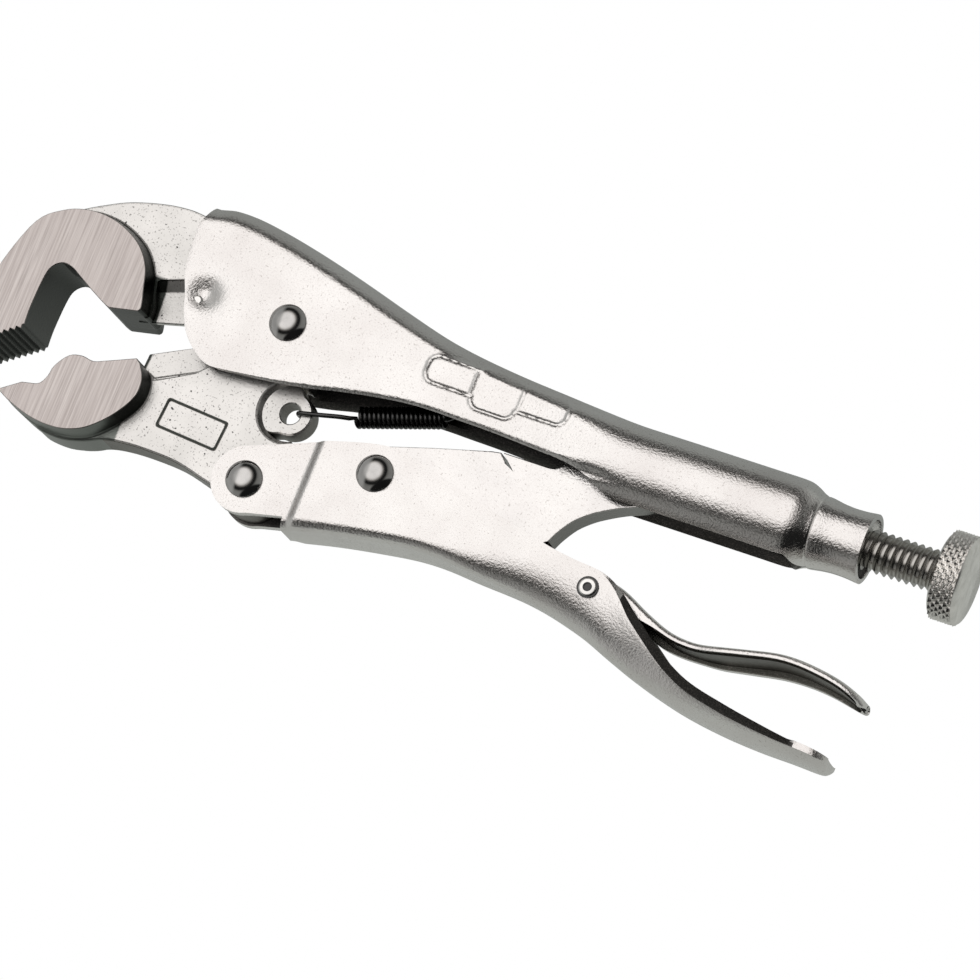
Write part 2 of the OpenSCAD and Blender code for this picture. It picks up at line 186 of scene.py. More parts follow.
def sheet_metal(made, thickness, edge, outer, rim_skin=0, inside=None,
                thin_from=None):
    """A skin gets its thickness on the inner side, and its edges are broken.
    outer is a way, such as +Y, that the outside of the skin faces somewhere."""
    edge_steps, edge_turn = 3, math.radians(55)
    bm = bmesh.new()
    bm.from_mesh(made.data)
    bmesh.ops.recalc_face_normals(bm, faces=bm.faces)
    farthest = max(bm.faces, key=lambda face: face.calc_center_median().dot(outer))
    if farthest.normal.dot(outer) < 0:
        bmesh.ops.reverse_faces(bm, faces=bm.faces)
    bm.to_mesh(made.data)
    bm.free()
    wall = made.modifiers.new("wall", "SOLIDIFY")
    wall.thickness = thickness * MM
    wall.offset = -1.0
    wall.use_even_offset = True
    thick = made.vertex_groups.new(name="share of the thickness")
    for vertex in made.data.vertices:
        share = thin_from((vertex.co.x - hub.x) / MM) if thin_from else 1.0
        thick.add([vertex.index], share, "REPLACE")
    wall.vertex_group = thick.name
    # painted shade: the inner side gets the dark inside material, and the rim too where rim_skin
    # is 1
    wall.material_offset = 1
    wall.material_offset_rim = rim_skin
    made.data.materials.append(nickel)
    made.data.materials.append(inside or inner_painted_shade)
    broken = made.modifiers.new("broken edges", "BEVEL")
    broken.width = edge * MM
    broken.segments = edge_steps
    broken.limit_method = "ANGLE"
    broken.angle_limit = edge_turn
    return made


def cut_away(made, cutter):
    """The cutter's shape is taken out of a piece. The cut is worked out in mm."""
    for part in (made, cutter):
        part.data.transform(Matrix.Scale(1 / MM, 4))
    cut = made.modifiers.new("cut", "BOOLEAN")
    cut.operation = "DIFFERENCE"
    cut.solver = "EXACT"
    cut.object = cutter
    settle(made)
    made.data.transform(Matrix.Scale(MM, 4))
    bpy.data.objects.remove(cutter)
    return made


def joined(made, *others):
    """Several solids as one piece."""
    bm = bmesh.new()
    bm.from_mesh(made.data)
    for other in others:
        bm.from_mesh(other.data)
        bpy.data.objects.remove(other)
    bm.to_mesh(made.data)
    bm.free()
    made.data.shade_smooth()
    return made


class Value:
    """A material's value; sums on it add Math nodes."""

    def __init__(self, finish, socket):
        self.finish = finish
        self.socket = socket

    def math(self, operation, *others):
        return self.finish.node("ShaderNodeMath", {"operation": operation},
                                dict(enumerate((self, *others))))

    def __add__(self, other):
        return self.math("ADD", other)

    def __sub__(self, other):
        return self.math("SUBTRACT", other)

    def __mul__(self, other):
        return self.math("MULTIPLY", other)

    def __rsub__(self, other):
        return (self * -1.0).math("ADD", other)

    def over(self, low, high):
        """0 below low, 1 above high, even between them."""
        return self.finish.node("ShaderNodeMapRange", {"clamp": True},
                                {0: self, 1: low, 2: high})

    __radd__ = __add__
    __rmul__ = __mul__


class Finish:
    """One material. Any node comes from node(): its type, settings and sockets."""

    def __init__(self, name):
        self.material = bpy.data.materials.new(name)
        self.material.use_nodes = True
        self.tree = self.material.node_tree
        self.tree.nodes.clear()

    def node(self, kind, settings=None, sockets=None, out=0):
        made = self.tree.nodes.new(kind)
        for key, value in (settings or {}).items():
            if key == "stops":
                ramp = made.color_ramp
                while len(ramp.elements) < len(value):
                    ramp.elements.new(1.0)
                for element, (place, colour) in zip(ramp.elements, value):
                    element.position = place
                    element.color = (*colour, 1.0)
            else:
                setattr(made, key, value)
        for key, value in (sockets or {}).items():
            if isinstance(value, Value):
                self.tree.links.new(value.socket, made.inputs[key])
            else:
                made.inputs[key].default_value = value
        return Value(self, made.outputs[out])

    def place(self, turn=0.0, stretch=(1.0, 1.0, 1.0)):
        """Places on the piece, in metres, turned and stretched for a pattern."""
        here = self.node("ShaderNodeTexCoord", out="Object")
        return self.node("ShaderNodeMapping", {"vector_type": "POINT"},
                         {"Vector": here, "Rotation": (0.0, 0.0, turn), "Scale": stretch})

    def along(self, where, way, start):
        """Millimetres from a start in metres, along way 0, 1 or 2 of a place."""
        return (self.node("ShaderNodeSeparateXYZ", {}, {"Vector": where}, way) - start) * (1 / MM)

    def off_middle(self, where):
        """Millimetres from the middle plane of the tool, on either side."""
        return self.along(where, 2, hub.z).math("ABSOLUTE")

    def noise(self, where, scale, detail=2.0, roughness=0.5):
        return self.node("ShaderNodeTexNoise", {},
                         {"Vector": where, "Scale": scale, "Detail": detail,
                          "Roughness": roughness})

    def mix(self, share, a, b):
        """Colour a where share is 0 and b where it is 1."""
        return self.node("ShaderNodeMix", {"data_type": "RGBA"},
                         {0: share, 6: a, 7: b}, out=2)

    def bump(self, height, depth, strength=1.0, under=None):
        sockets = {"Height": height, "Distance": depth, "Strength": strength}
        if under is not None:
            sockets["Normal"] = under
        return self.node("ShaderNodeBump", {}, sockets)

    def surface(self, colour, roughness, metallic=1.0, normal=None, **more):
        sockets = {"Base Color": colour, "Roughness": roughness, "Metallic": metallic}
        if normal is not None:
            sockets["Normal"] = normal
        sockets.update(more)
        shader = self.node("ShaderNodeBsdfPrincipled", {}, sockets)
        output = self.tree.nodes.new("ShaderNodeOutputMaterial")
        self.tree.links.new(shader.socket, output.inputs["Surface"])
        return self.material


def satin_nickel(name, light, dark, grain_depth, smooth, rough, flank=0.0):
    """Nickel over tumbled steel: fine grain, faint waves, greyer patches. Cut
    sides within flank mm of the middle plane get painted shade."""
    grain_scale, pit_scale, stipple_scale = 2300.0, 2600.0, 3900.0
    wave_scale, cloud_scale = 190.0, 60.0
    wave_depth, wave_strength = 0.12 * MM, 0.35
    stipple_grey, stipple_share = (0.52, 0.47, 0.45, 1.0), 0.22
    pit_brown, pit_share = (0.30, 0.27, 0.25, 1.0), 0.5
    flank_shade_grey, flank_blend = (0.16, 0.158, 0.15, 1.0), 0.1
    finish = Finish(name)
    where = finish.place()
    grain = finish.noise(where, grain_scale, 3.0, 0.6)
    wave = finish.noise(where, wave_scale, 2.0)
    cloud = finish.noise(where, cloud_scale, 3.0, 0.6)
    pits = finish.noise(where, pit_scale, 1.0).over(0.64, 0.76)
    stipple = finish.noise(where, stipple_scale, 2.0).over(0.50, 0.70)
    colour = finish.mix(cloud.over(0.35, 0.7), light, dark)
    colour = finish.mix(stipple * stipple_share, colour, stipple_grey)
    colour = finish.mix(pits * pit_share, colour, pit_brown)
    # painted shade on the sides near the middle plane
    if flank:
        off_middle = finish.off_middle(where)
        colour = finish.mix(off_middle.over(flank, flank - flank_blend), colour, flank_shade_grey)
    roughness = cloud.over(0.3, 0.75) * (rough - smooth) + smooth
    waves = finish.bump(wave, wave_depth, wave_strength)
    normal = finish.bump(grain, grain_depth, 1.0, waves)
    return finish.surface(colour, roughness, normal=normal)


bright_nickel, worn_nickel = (0.83, 0.815, 0.80, 1.0), (0.74, 0.715, 0.70, 1.0)
nickel = satin_nickel("satin nickel sheet", bright_nickel, worn_nickel, 0.085 * MM, 0.10, 0.17)
# painted shade: the inner side of the sheet, in the channels and the tube, is made dark nickel
shaded_nickel, deep_shade_nickel = (0.10, 0.098, 0.094, 1.0), (0.06, 0.058, 0.056, 1.0)
inner_painted_shade = satin_nickel("nickel inside the channels", shaded_nickel, deep_shade_nickel,
                          0.02 * MM, 0.34, 0.46)


def dress(made, material, body, node=None):
    """Material, body and CAD node of a finished piece."""
    if material:
        made.data.materials.clear()
        made.data.materials.append(material)
    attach(made, body)
    if node:
        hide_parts(node)
    return made


# the lines of the stamping
back_height = height_along(
    [(-22.3, 16.9), (-18.5, 17.55), (-14, 17.45), (-8.4, 16.6), (-2.2, 15.3), (4.3, 13.7),
     (10.9, 11.9), (19.5, 9.4), (28, 7.1), (34.3, 5.9), (42.2, 4.9), (50, 4.2), (58, 3.7),
     (66, 3.45), (80, 3.45)])
edge_height = height_along(
    [(-9.2, -12), (-5.8, -11.8), (1.6, -11.1), (8.8, -10), (14, -8.9), (23, -7.5),
     (29.2, -7), (36.3, -7.1), (43.8, -7.3), (51.5, -7.8), (59.3, -8.5), (62.6, -9.4),
     (66, -11), (70, -12.07)])
front_edge = through(
    [(-9.2, -12), (-12.1, -11.6), (-15.3, -9.5), (-17.9, -6.6), (-19.4, -3.6),
     (-20.9, 0.5), (-22.3, 4.2), (-23, 8.2), (-23.3, 12.3), (-23.2, 13.9)])
tube_y = -4.75
sheet_thickness = 1.9
channel_half = 7.0
tube_radius = 8.2
patch_end = 15.0
# the back is crowned: three bends follow each other from the wall to the top
lower_bend = height_along([(-24, 3.4), (5, 3.2), (22, 2.2), (34, 1.3), (50, 1.4), (58, 3.4),
                           (66, 7.4), (70, 7.8), (75, 7.8), (120, 7.8)])
crown_bend = height_along([(-24, 7.4), (0, 8.2), (20, 8.8), (50, 8.8), (60, 8.2), (70, 7.8),
                           (75, 7.8), (120, 7.8)])
upper_bend = height_along([(-24, 1.2), (40, 1.2), (52, 1.8), (60, 4.8), (68, 7.7), (72, 7.8),
                           (120, 7.8)])
bends = ((lower_bend, 0, 35, 4), (crown_bend, 35, 60, 5), (upper_bend, 60, 90, 4))
# outside radius of the tube, the neck and the collar
neck_radius = height_along(
    [(95, 8.2), (99.0, 8.2), (100.5, 8.05), (102.0, 7.5), (103.2, 6.85), (103.9, 6.6),
     (104.15, 6.42), (104.4, 6.6), (105.6, 6.45), (107.2, 6.2), (109.3, 6.05), (111.6, 6.12),
     (113.2, 6.3), (113.8, 6.35)])
slit_half = 4.7
slit_end = 100.5


dimple_place, dimple_depth, dimple_spread = (-17.4, 0.5), 1.55, 7.0
# the pinch where the channel begins to close into the tube
pinch_x, pinch_depth, pinch_wide = 63.5, 0.6, 3.4
# the panel is a long bar with a shield across its middle, both round-cornered
panel_place, panel_slope = (41.8, 0.1), 0.018
bar_long, bar_high, bar_round = 12.2, 0.7, 1.85
shield_long, shield_high, shield_round, shield_drop = 2.4, 1.9, 2.0, 0.6
ridge_height, ridge_wide, panel_sunk = 0.26, 0.36, 0.06
divider_x, divider_height, divider_wide = 4.7, 0.22, 0.32


def relief(x, y):
    """How far the wall's skin stands out: the dimple and the raised panel."""
    off_x, off_y = x - dimple_place[0], y - dimple_place[1]
    dent = dimple_depth * math.exp(-(off_x ** 2 + off_y ** 2) / dimple_spread)
    pinch = pinch_depth * math.exp(-((x - pinch_x) / pinch_wide) ** 2) * ease(7.2, 9.4, -y)
    along = x - panel_place[0]
    across = y - panel_place[1] + along * panel_slope
    from_bar = math.hypot(max(abs(along) - bar_long, 0),
                          max(abs(across) - bar_high, 0)) - bar_round
    from_shield = math.hypot(max(abs(along) - shield_long, 0),
                             max(abs(across + shield_drop) - shield_high, 0)) - shield_round
    distance = min(from_bar, from_shield)
    ridge = ridge_height * math.exp(-(distance / ridge_wide) ** 2)
    if distance < 0:
        from_divider = (abs(along) - divider_x) / divider_wide
        ridge = max(ridge, divider_height * math.exp(-from_divider ** 2))
    return ridge - panel_sunk * (1 - ease(-0.6, 0.0, distance)) - dent - pinch


def bend_drop(x):
    """How far below the back the wall begins to bend."""
    return sum(bend(x) * (math.sin(math.radians(end)) - math.sin(math.radians(start)))
               for bend, start, end, steps in bends)


channel_rows, row_crowding, back_rows = 52, 1.3, 4
tube_start, tube_full = 44, 66
rim_roll, rim_roll_wide = 0.5, 1.0
front_lean = 0.9


def channel_column(x, top, bottom, line):
    """Half a cross-section, from the open edge up to the middle of the back."""
    half = channel_half + (tube_radius - channel_half) * ease(tube_start, tube_full, x)
    shrink = neck_radius(x) / tube_radius
    curl = ease(46, 64, x)
    start = top - bend_drop(x)
    fall = math.radians(5 + 70 * ease(50, 72, x))
    points = []
    for k in range(channel_rows + 1):
        v = (k / channel_rows) ** row_crowding
        if line is None:
            share = math.sin(fall * (1 - v)) / math.sin(fall)
            px, y = x, start + (bottom - start) * share
        else:
            px, y = line(v)
        z = half
        if y < tube_y and curl > 0:
            under = math.sqrt(max(tube_radius ** 2 - (y - tube_y) ** 2, 0.0001))
            z = half * (1 - curl) + min(under, half) * curl
        from_edge = math.hypot(px - points[0][0], y - points[0][1]) if points else 0.0
        rolled = rim_roll * max(0.0, 1 - from_edge / rim_roll_wide) ** 2
        points.append([px, y, z - rolled * (1 - ease(56, 64, x))])
    last_x = points[-1][0]
    lean = front_lean * (1 - ease(-23.3, -18, x)) if line else 0.0
    y, z = start, half
    for bend, first, last, steps in bends:
        for k in range(steps):
            a = math.radians(first + (last - first) * k / steps)
            b = math.radians(first + (last - first) * (k + 1) / steps)
            y += bend(x) * (math.sin(b) - math.sin(a))
            z -= bend(x) * (math.cos(a) - math.cos(b))
            points.append([last_x + lean * math.sin(b), y, z])
    flat = points[-1][2]
    for k in range(1, back_rows + 1):
        points.append([last_x + lean, top, flat * (1 - k / back_rows)])
    for p in points:
        # the relief fades out where the back's bends begin
        if p[2] > half * 0.8:
            p[2] += relief(p[0], p[1]) * (1 - ease(0.9, 1.0, 1 - p[2] / half + 0.8))
        p[1] = tube_y + (p[1] - tube_y) * shrink
        p[2] = p[2] * shrink
    return points


columns = []
front_columns = 44
low_corner, high_corner = -9.2, -23.2
for i in range(front_columns):
    u = i / front_columns
    low_x = low_corner + (patch_end - low_corner) * u
    high_x = high_corner + (patch_end - high_corner) * u
    high_y = back_height(high_x) - bend_drop(high_x)

    def patch(v, u=u, low_x=low_x, high_x=high_x, high_y=high_y):
        rim = at_share(front_edge, v)
        end_low = edge_height(patch_end)
        end_high = back_height(patch_end) - bend_drop(patch_end)
        across = Vector((patch_end, end_low + (end_high - end_low) * v))
        along = Vector((low_x, edge_height(low_x))).lerp(Vector((high_x, high_y)), v)
        corner_a = front_edge[0].lerp(front_edge[-1], v)
        corner_b = Vector((patch_end, end_low)).lerp(Vector((patch_end, end_high)), v)
        return rim.lerp(across, u) + along - corner_a.lerp(corner_b, u)

    columns.append(channel_column(high_x, back_height(high_x), 0.0, patch))


def paces(*stretches):
    """Stations along the tool, from (start, pace, count) stretches."""
    return [start + pace * k for start, pace, count in stretches for k in range(count)]


stations = paces((patch_end, 1.1, 9), (25, 0.27, 123), (58.4, 0.8, 20), (74.6, 1.6, 16),
                 (98.9, 0.42, 12), (103.75, 0.13, 7), (105, 0.5, 18), (113.8, 0, 1))
seam_half, tube_end, slit_fade = 0.12, 66, 4
for x in stations:
    bottom = edge_height(x)
    if x > tube_end:
        gap = slit_half + (seam_half - slit_half) * ease(slit_end, slit_end + 3.5, x)
        deepest = tube_y - math.sqrt(tube_radius ** 2 - gap ** 2)
        bottom = bottom + (deepest - bottom) * ease(tube_end, tube_end + slit_fade, x)
    columns.append(channel_column(x, back_height(x), bottom, None))
rows = []
for half_section in columns:
    far_side = [(p[0], p[1], -p[2]) for p in reversed(half_section[:-1])]
    rows.append([tuple(p) for p in half_section] + far_side)
upper_handle = solid("upper_handle_stamping", skin(rows), turn_out=False)
# painted shade: the sheet's cut rims get the dark inside material
sheet_metal(upper_handle, sheet_thickness, 0.35, Vector((0, 1, 0)), rim_skin=1,
            thin_from=lambda x: 1 - 0.5 * ease(111.4, 113.4, x))
settle(upper_handle)
# the cut edge behind, along the tube's slit and round the collar, keeps plain nickel without the
# painted shade
for face in upper_handle.data.polygons:
    place = (face.center - hub) / MM
    far_lip = place.x > 68 and face.normal.y < -0.6 and place.z < 0
    if place.x > 113.5 or far_lip:
        face.material_index = 0

# the slot behind the strap that the spring hangs on, and the strap itself
strap_x, slot_long, slot_wide, slot_floor, slot_top = 41.8, 4.1, 3.1, 0.6, 9.0
bm = bmesh.new()
slot_outline = oval((strap_x + 0.1, 0), slot_long, slot_wide, 40)
rings = [[bm.verts.new(spot(x, y, z)) for x, z in slot_outline] for y in (slot_floor, slot_top)]
for i in range(len(slot_outline)):
    j = (i + 1) % len(slot_outline)
    bm.faces.new((rings[0][i], rings[0][j], rings[1][j], rings[1][i]))
bm.faces.new(rings[0])
bm.faces.new(rings[1])
cut_away(upper_handle, solid("slot cutter", bm))
strap_wide, strap_thick = 0.8, 0.55
strap_half = [(2.4, 1.5), (2.5, 2.8), (3.1, 3.7), (3.4, 4.4)]
strap_line = strap_half[::-1] + [(y, -z) for y, z in strap_half]
strap_rows = [[(x, y, z) for x, y in oval((strap_x, line_y), strap_wide, strap_thick, 14)]
              for line_y, z in strap_line]
bm = skin(strap_rows, wrap=True)
bmesh.ops.holes_fill(bm, edges=bm.edges)
joined(upper_handle, solid("strap", bm))
upper_handle.data.set_sharp_from_angle(angle=math.radians(38))
dress(upper_handle, None, "upper_body", "upper_handle")

# ---------------------------------------------------------------------------
# Fixed jaw: a steel forging. Its head is ground flat on both faces; the web
# behind it keeps its forged skin and is clamped between the handle's walls.
# ---------------------------------------------------------------------------


def arc(centre, radius, first, last, step):
    """Places along an arc, its angles in whole degrees."""
    return [Vector((centre[0] + radius * math.cos(math.radians(a)),
                    centre[1] + radius * math.sin(math.radians(a))))
            for a in range(first, last, step)]


def prism(name, levels):
    """A solid through loops of places at several heights, (z, loop) each."""
    bm = bmesh.new()
    rings = [[bm.verts.new(spot(p[0], p[1], z)) for p in loop] for z, loop in levels]
    count = len(rings[0])
    for a, b in zip(rings, rings[1:]):
        for i in range(count):
            j = (i + 1) % count
            bm.faces.new((a[i], a[j], b[j], b[i]))
    bm.faces.new(rings[0][::-1])
    bm.faces.new(rings[-1])
    return solid(name, bm)


def pushed(loop, distance, shares=None):
    """A closed loop with each point moved outwards by its share of distance."""
    count = len(loop)
    area = sum(loop[i - 1][0] * loop[i][1] - loop[i][0] * loop[i - 1][1]
               for i in range(count))
    side = 1 if area > 0 else -1
    moved = []
    for i in range(count):
        before, here, after = loop[i - 1], loop[i], loop[(i + 1) % count]
        way = Vector((after[0] - before[0], after[1] - before[1])).normalized()
        share = 1 if shares is None else shares[i]
        step = distance * share * side
        moved.append((here[0] + way.y * step, here[1] - way.x * step))
    return moved


def slab(name, loop, half, edge):
    """A flat plate over both sides of the middle plane, with rounded edges."""
    levels, steps = [], 3
    for k in range(steps + 1):
        turn = math.pi / 2 * k / steps
        levels.append((half - edge * (1 - math.sin(turn)),
                       pushed(loop, -edge * (1 - math.cos(turn)))))
    return prism(name, [(-z, ring) for z, ring in reversed(levels)] + levels)


head_half = 7.2
web_half = 3.4


def forged_steel(name, turn, wall_end, skin_above, skirt_height):
    """Forged skin under nickel; the two ground faces show the wheel's lines. The
    head's side walls get painted shade, lighter below the skirt height. The web is
    clear of that painted shade from wall_end on, and before it above skin_above."""
    fine_scale, broad_scale, cloud_scale = 5200.0, 2500.0, 80.0
    grain_scale, speck_scale, pit_scale = 1900.0, 2700.0, 800.0
    line_stretch = 0.02
    ground_dark, ground_light = (0.45, 0.405, 0.39, 1.0), (0.60, 0.555, 0.535, 1.0)
    line_shade, speck_shade = (0.30, 0.265, 0.255, 1.0), (0.16, 0.155, 0.15, 1.0)
    skin_light, skin_dark = (0.80, 0.785, 0.765, 1.0), (0.66, 0.65, 0.63, 1.0)
    pit_black, wall_painted_shade = (0.03, 0.03, 0.03, 1.0), (0.045, 0.05, 0.045, 1.0)
    skirt_lighter_shade = (0.20, 0.215, 0.20, 1.0)
    grain_height, relief_depth = 3.0, 0.012 * MM
    finish = Finish(name)
    where = finish.place()
    across = finish.along(where, 0, hub.x)
    up = finish.along(where, 1, hub.y)
    off_middle = finish.off_middle(where)
    ground = off_middle.over(head_half - 0.16, head_half - 0.1)
    lines = finish.place(turn, (1.0, line_stretch, 1.0))
    fine = finish.noise(lines, fine_scale, 3.0, 0.65)
    broad = finish.noise(lines, broad_scale, 2.0)
    cloud = finish.noise(where, cloud_scale, 3.0, 0.6)
    grain = finish.noise(where, grain_scale, 3.0, 0.65)
    specks = finish.noise(where, speck_scale, 1.5).over(0.62, 0.70)
    pits = finish.noise(where, pit_scale, 1.0).over(0.735, 0.75)
    skin_band = off_middle.over(3.2, 3.28) * up.over(skin_above - 0.3, skin_above + 0.3)
    clear = (skin_band + across.over(wall_end, wall_end + 0.3)).over(0.0, 1.0)
    clear = clear * off_middle.over(3.7, 3.55)
    # painted shade on the head's side walls, except where the web is clear
    wall = off_middle.over(head_half - 0.05, head_half - 0.14) * (1 - clear)
    brushed = finish.mix(broad.over(0.3, 0.7), ground_dark, ground_light)
    brushed = finish.mix(fine.over(0.48, 0.7) * 0.5, brushed, line_shade)
    forged = finish.mix(cloud.over(0.35, 0.7), skin_light, skin_dark)
    forged = finish.mix(specks * 0.7, forged, speck_shade)
    forged = finish.mix(pits * 0.9, forged, pit_black)
    # painted shade for the side walls, lighter below the skirt height
    dark = finish.mix(up.over(skirt_height + 1.0, skirt_height - 1.0), wall_painted_shade, skirt_lighter_shade)
    colour = finish.mix(ground, finish.mix(wall, forged, dark), brushed)
    roughness = fine * 0.10 + 0.28
    height = (fine + broad) * 0.5 * ground + grain * (1 - ground) * grain_height
    return finish.surface(colour, roughness, normal=finish.bump(height, relief_depth))


no_web_skin, no_skirt = 99.0, -40.0
fixed_steel = forged_steel("forged jaw fixed", 0.0, -26.3, 1.5, no_skirt)
tooth_pitch = 1.2
tooth_depth = 0.6


def bite(a, b):
    """The nose teeth on the way from b back to a."""
    a, b = Vector(a), Vector(b)
    way = (b - a).normalized()
    out = Vector((way.y, -way.x))
    count = int((b - a).length / tooth_pitch)
    line = []
    for k in range(count):
        line.append(b - way * k * tooth_pitch - out * tooth_depth)
        line.append(b - way * (k + 1 / 3) * tooth_pitch)
    return line


ground_edge, fade_in = 0.12, 3
draft_levels = ((5.6, 0.4), (4.3, 0.78), (3.8, 1.0), (3.5, 1.35), (3.3, 2.0))
cad_left = (cad_low.x - hub.x) / MM + 0.05


def jaw_head(name, straight, drafted, straight_after, draft, fade):
    """A head with ground faces; the drafted side spreads towards the web."""
    loop = straight + drafted + straight_after
    last = len(drafted) - 1
    shares = [0.0] * len(straight)
    shares += [min(1.0, i / fade_in, (last - i) / fade) for i in range(len(drafted))]
    shares += [0.0] * len(straight_after)
    levels = [(head_half, pushed(loop, -ground_edge)), (head_half - ground_edge, loop)]
    for z, spread in draft_levels:
        spread_loop = pushed(loop, spread * draft, shares)
        levels.append((z, [(max(x, cad_left), y) for x, y in spread_loop]))
    return prism(name, [(-z, ring) for z, ring in levels] + levels[::-1])


fixed_outer = through(
    [(-55.3, -21.4), (-56.2, -17), (-56.8, -11.5), (-56.2, -5.4), (-53.1, 3.5), (-48.8, 7.1),
     (-44.5, 8.5), (-40.3, 8.5), (-36.3, 7.4), (-32.4, 5.1), (-29.7, 1.7), (-28.4, -2.2),
     (-27.4, -5.7), (-27.8, -6.6)], 5)
fixed_mouth = through(
    [(-33.1, -7.6), (-34.4, -7.2), (-37.9, -5.4), (-41.1, -3.6), (-43, -2.6), (-45, -2.4),
     (-46.7, -3.8), (-47.3, -6.4), (-47.5, -12), (-47.3, -15.4)], 4)
fixed_head = jaw_head("fixed_head", bite((-55.6, -21.8), (-47.3, -16.1)), fixed_outer,
                      fixed_mouth, 0.6, 8)
fixed_web_line = through(
    [(-50, -8), (-53, -2), (-53.3, 4.3), (-48, 8.6), (-43, 11.4), (-38.3, 13.4), (-32, 14.9),
     (-27, 15.3), (-23.4, 14.9)])
fixed_web_line += [Vector((-20.6, 14.4)), Vector((-13, 13.9)), Vector((-13, 5.4)),
                   Vector((-20.6, 3.2)), Vector((-27.4, 0.9)), Vector((-30, -2)),
                   Vector((-36, 0)), Vector((-44, 0))]
fixed_web = slab("fixed_web", fixed_web_line, web_half, 0.45)
fixed_root_line = [Vector((-21, 14.2)), Vector((-13, 15)), Vector((-6, 13.6))]
fixed_root_line += arc((0, 0), 9.6, 110, 191, 8)
fixed_root_line += [Vector((-13.6, -4.6)), Vector((-17.5, -4.4)), Vector((-18, 0))]
root_half = 4.95
fixed_root = slab("fixed_root", fixed_root_line, root_half, 0.3)


blade_edge = 0.18


def blade(name, ends, sections):
    """A block with a bevelled edge: four-sided along, one section at each end."""
    bm = bmesh.new()
    rings = []
    for x, section in zip(ends, sections):
        near = [(x + dx, y, z) for dx, y, z in section]
        far = [(px, y, -z) for px, y, z in reversed(near)]
        rings.append([bm.verts.new(spot(*p)) for p in near + far])
    count = len(rings[0])
    for i in range(count):
        j = (i + 1) % count
        bm.faces.new((rings[0][i], rings[0][j], rings[1][j], rings[1][i]))
    bm.faces.new(rings[0])
    bm.faces.new(rings[1][::-1])
    made = solid(name, bm)
    rounding = made.modifiers.new("rounding", "BEVEL")
    rounding.width = blade_edge * MM
    rounding.segments = 2
    rounding.limit_method = "ANGLE"
    rounding.angle_limit = math.radians(15)
    return settle(made)


fixed_blade = blade("fixed_blade", (-29.5, -17.5), (
    [(0, 2.5, 3.2), (0, 0.75, 3.35), (0, -1.6, 1.75), (0, -7.1, 0.6)],
    [(0, 6.0, 3.2), (0, 4.7, 3.35), (0, 2.3, 1.75), (0, -4.1, 0.6)]))
fixed_jaw = joined(fixed_head, fixed_web, fixed_root, fixed_blade)
fixed_jaw.name = "fixed_jaw_forging"
forging_crease = math.radians(14)
fixed_jaw.data.set_sharp_from_angle(angle=forging_crease)
dress(fixed_jaw, fixed_steel, "upper_body", "fixed_jaw")

# ---------------------------------------------------------------------------
# Locating pin: a small steel pin through the handle's walls and the root of
# the fixed jaw, flush in the bottom of a dimple on each side.
# ---------------------------------------------------------------------------


def turned(name, centre, profile, axis="Z", sides=40):
    """A turned piece from (place along the axis, radius) pairs, closed at both ends."""
    rows = []
    for along, radius in profile:
        row = oval(centre, radius, radius, sides)
        rows.append([(x, y, along) if axis == "Z" else (along, x, y) for x, y in row])
    bm = skin(rows, wrap=True)
    bmesh.ops.holes_fill(bm, edges=bm.edges)
    return solid(name, bm)


def polished_steel(name, colour, roughness):
    """Turned or headed steel with a fine, almost even polish."""
    cloud_scale, grain_scale, grain_depth = 420.0, 3200.0, 0.004 * MM
    duller = 0.82
    finish = Finish(name)
    where = finish.place()
    cloud = finish.noise(where, cloud_scale, 2.0)
    grain = finish.noise(where, grain_scale, 2.0)
    shade = tuple(c * duller for c in colour[:3]) + (1.0,)
    tone = finish.mix(cloud.over(0.35, 0.7), colour, shade)
    normal = finish.bump(grain, grain_depth, 0.6)
    return finish.surface(tone, cloud * 0.08 + roughness, normal=normal)


pin_steel = polished_steel("pin steel", (0.86, 0.85, 0.83, 1.0), 0.16)
pin_place, pin_radius, pin_chamfer, pin_end = (-18.3, -1.0), 1.0, 0.25, 6.15
pin_half = [(pin_end - pin_chamfer, pin_radius), (pin_end - 0.02, 0.7), (pin_end, 0.1)]
jaw_pin = turned("fixed_jaw_pin_turned", pin_place,
                 [(-along, radius) for along, radius in reversed(pin_half)] + pin_half)
settle(jaw_pin)
dress(jaw_pin, pin_steel, "upper_body", "fixed_jaw_pin")

# ---------------------------------------------------------------------------
# Lower jaw: a steel forging like the fixed one. It turns on the main rivet,
# and the spring is hooked into the eye behind its web.
# ---------------------------------------------------------------------------

moving_steel = forged_steel("forged jaw moving", math.radians(-12), -24.0, no_web_skin, -27.0)
lower_mouth = [Vector((-47.2, -28.3)), Vector((-43.4, -25.7))] + through(
    [(-41.9, -25.4), (-40.2, -24.9), (-39.2, -23.2), (-38.7, -20.9), (-36.8, -18.3),
     (-34.4, -17.6), (-32, -17.9), (-29.5, -17), (-24.4, -14.9)])
lower_outer = through(
    [(-23.4, -15.6), (-22, -18), (-21.7, -21), (-22.9, -23.9), (-25.4, -27.2),
     (-28.5, -29.9), (-31.4, -31.2), (-34.2, -31.7), (-37.6, -31.6), (-41, -30.9),
     (-44.7, -29.6), (-46.9, -28.5)], 5)
lower_head = jaw_head("lower_head", lower_mouth, lower_outer, [], 0.55, 30)
spring_eye = (5.3, -14.7)
handle_hub = (3.0, -29.3)
lower_web_line = through(
    [(-40, -31.4), (-38, -32.4), (-33.6, -32.7), (-29.5, -31.8), (-26, -30.4), (-22, -29.8),
     (-17, -29.7), (-11, -30.1), (-5.6, -31.4)])
lower_web_line += arc(handle_hub, 5.8, 210, 376, 11) + [Vector((8.9, -21.5))]
web_back = [Vector((5.4, -6)), Vector((-7, -6)), Vector((-14.4, -13.2)),
            Vector((-20.6, -16.5)), Vector((-24.6, -18.2)), Vector((-30, -20)),
            Vector((-36, -24))]


def bitten_web(recess):
    """The web's outline, with the spring's recess of that radius left out."""
    return lower_web_line + arc(spring_eye, recess, -66, -287, -10) + web_back


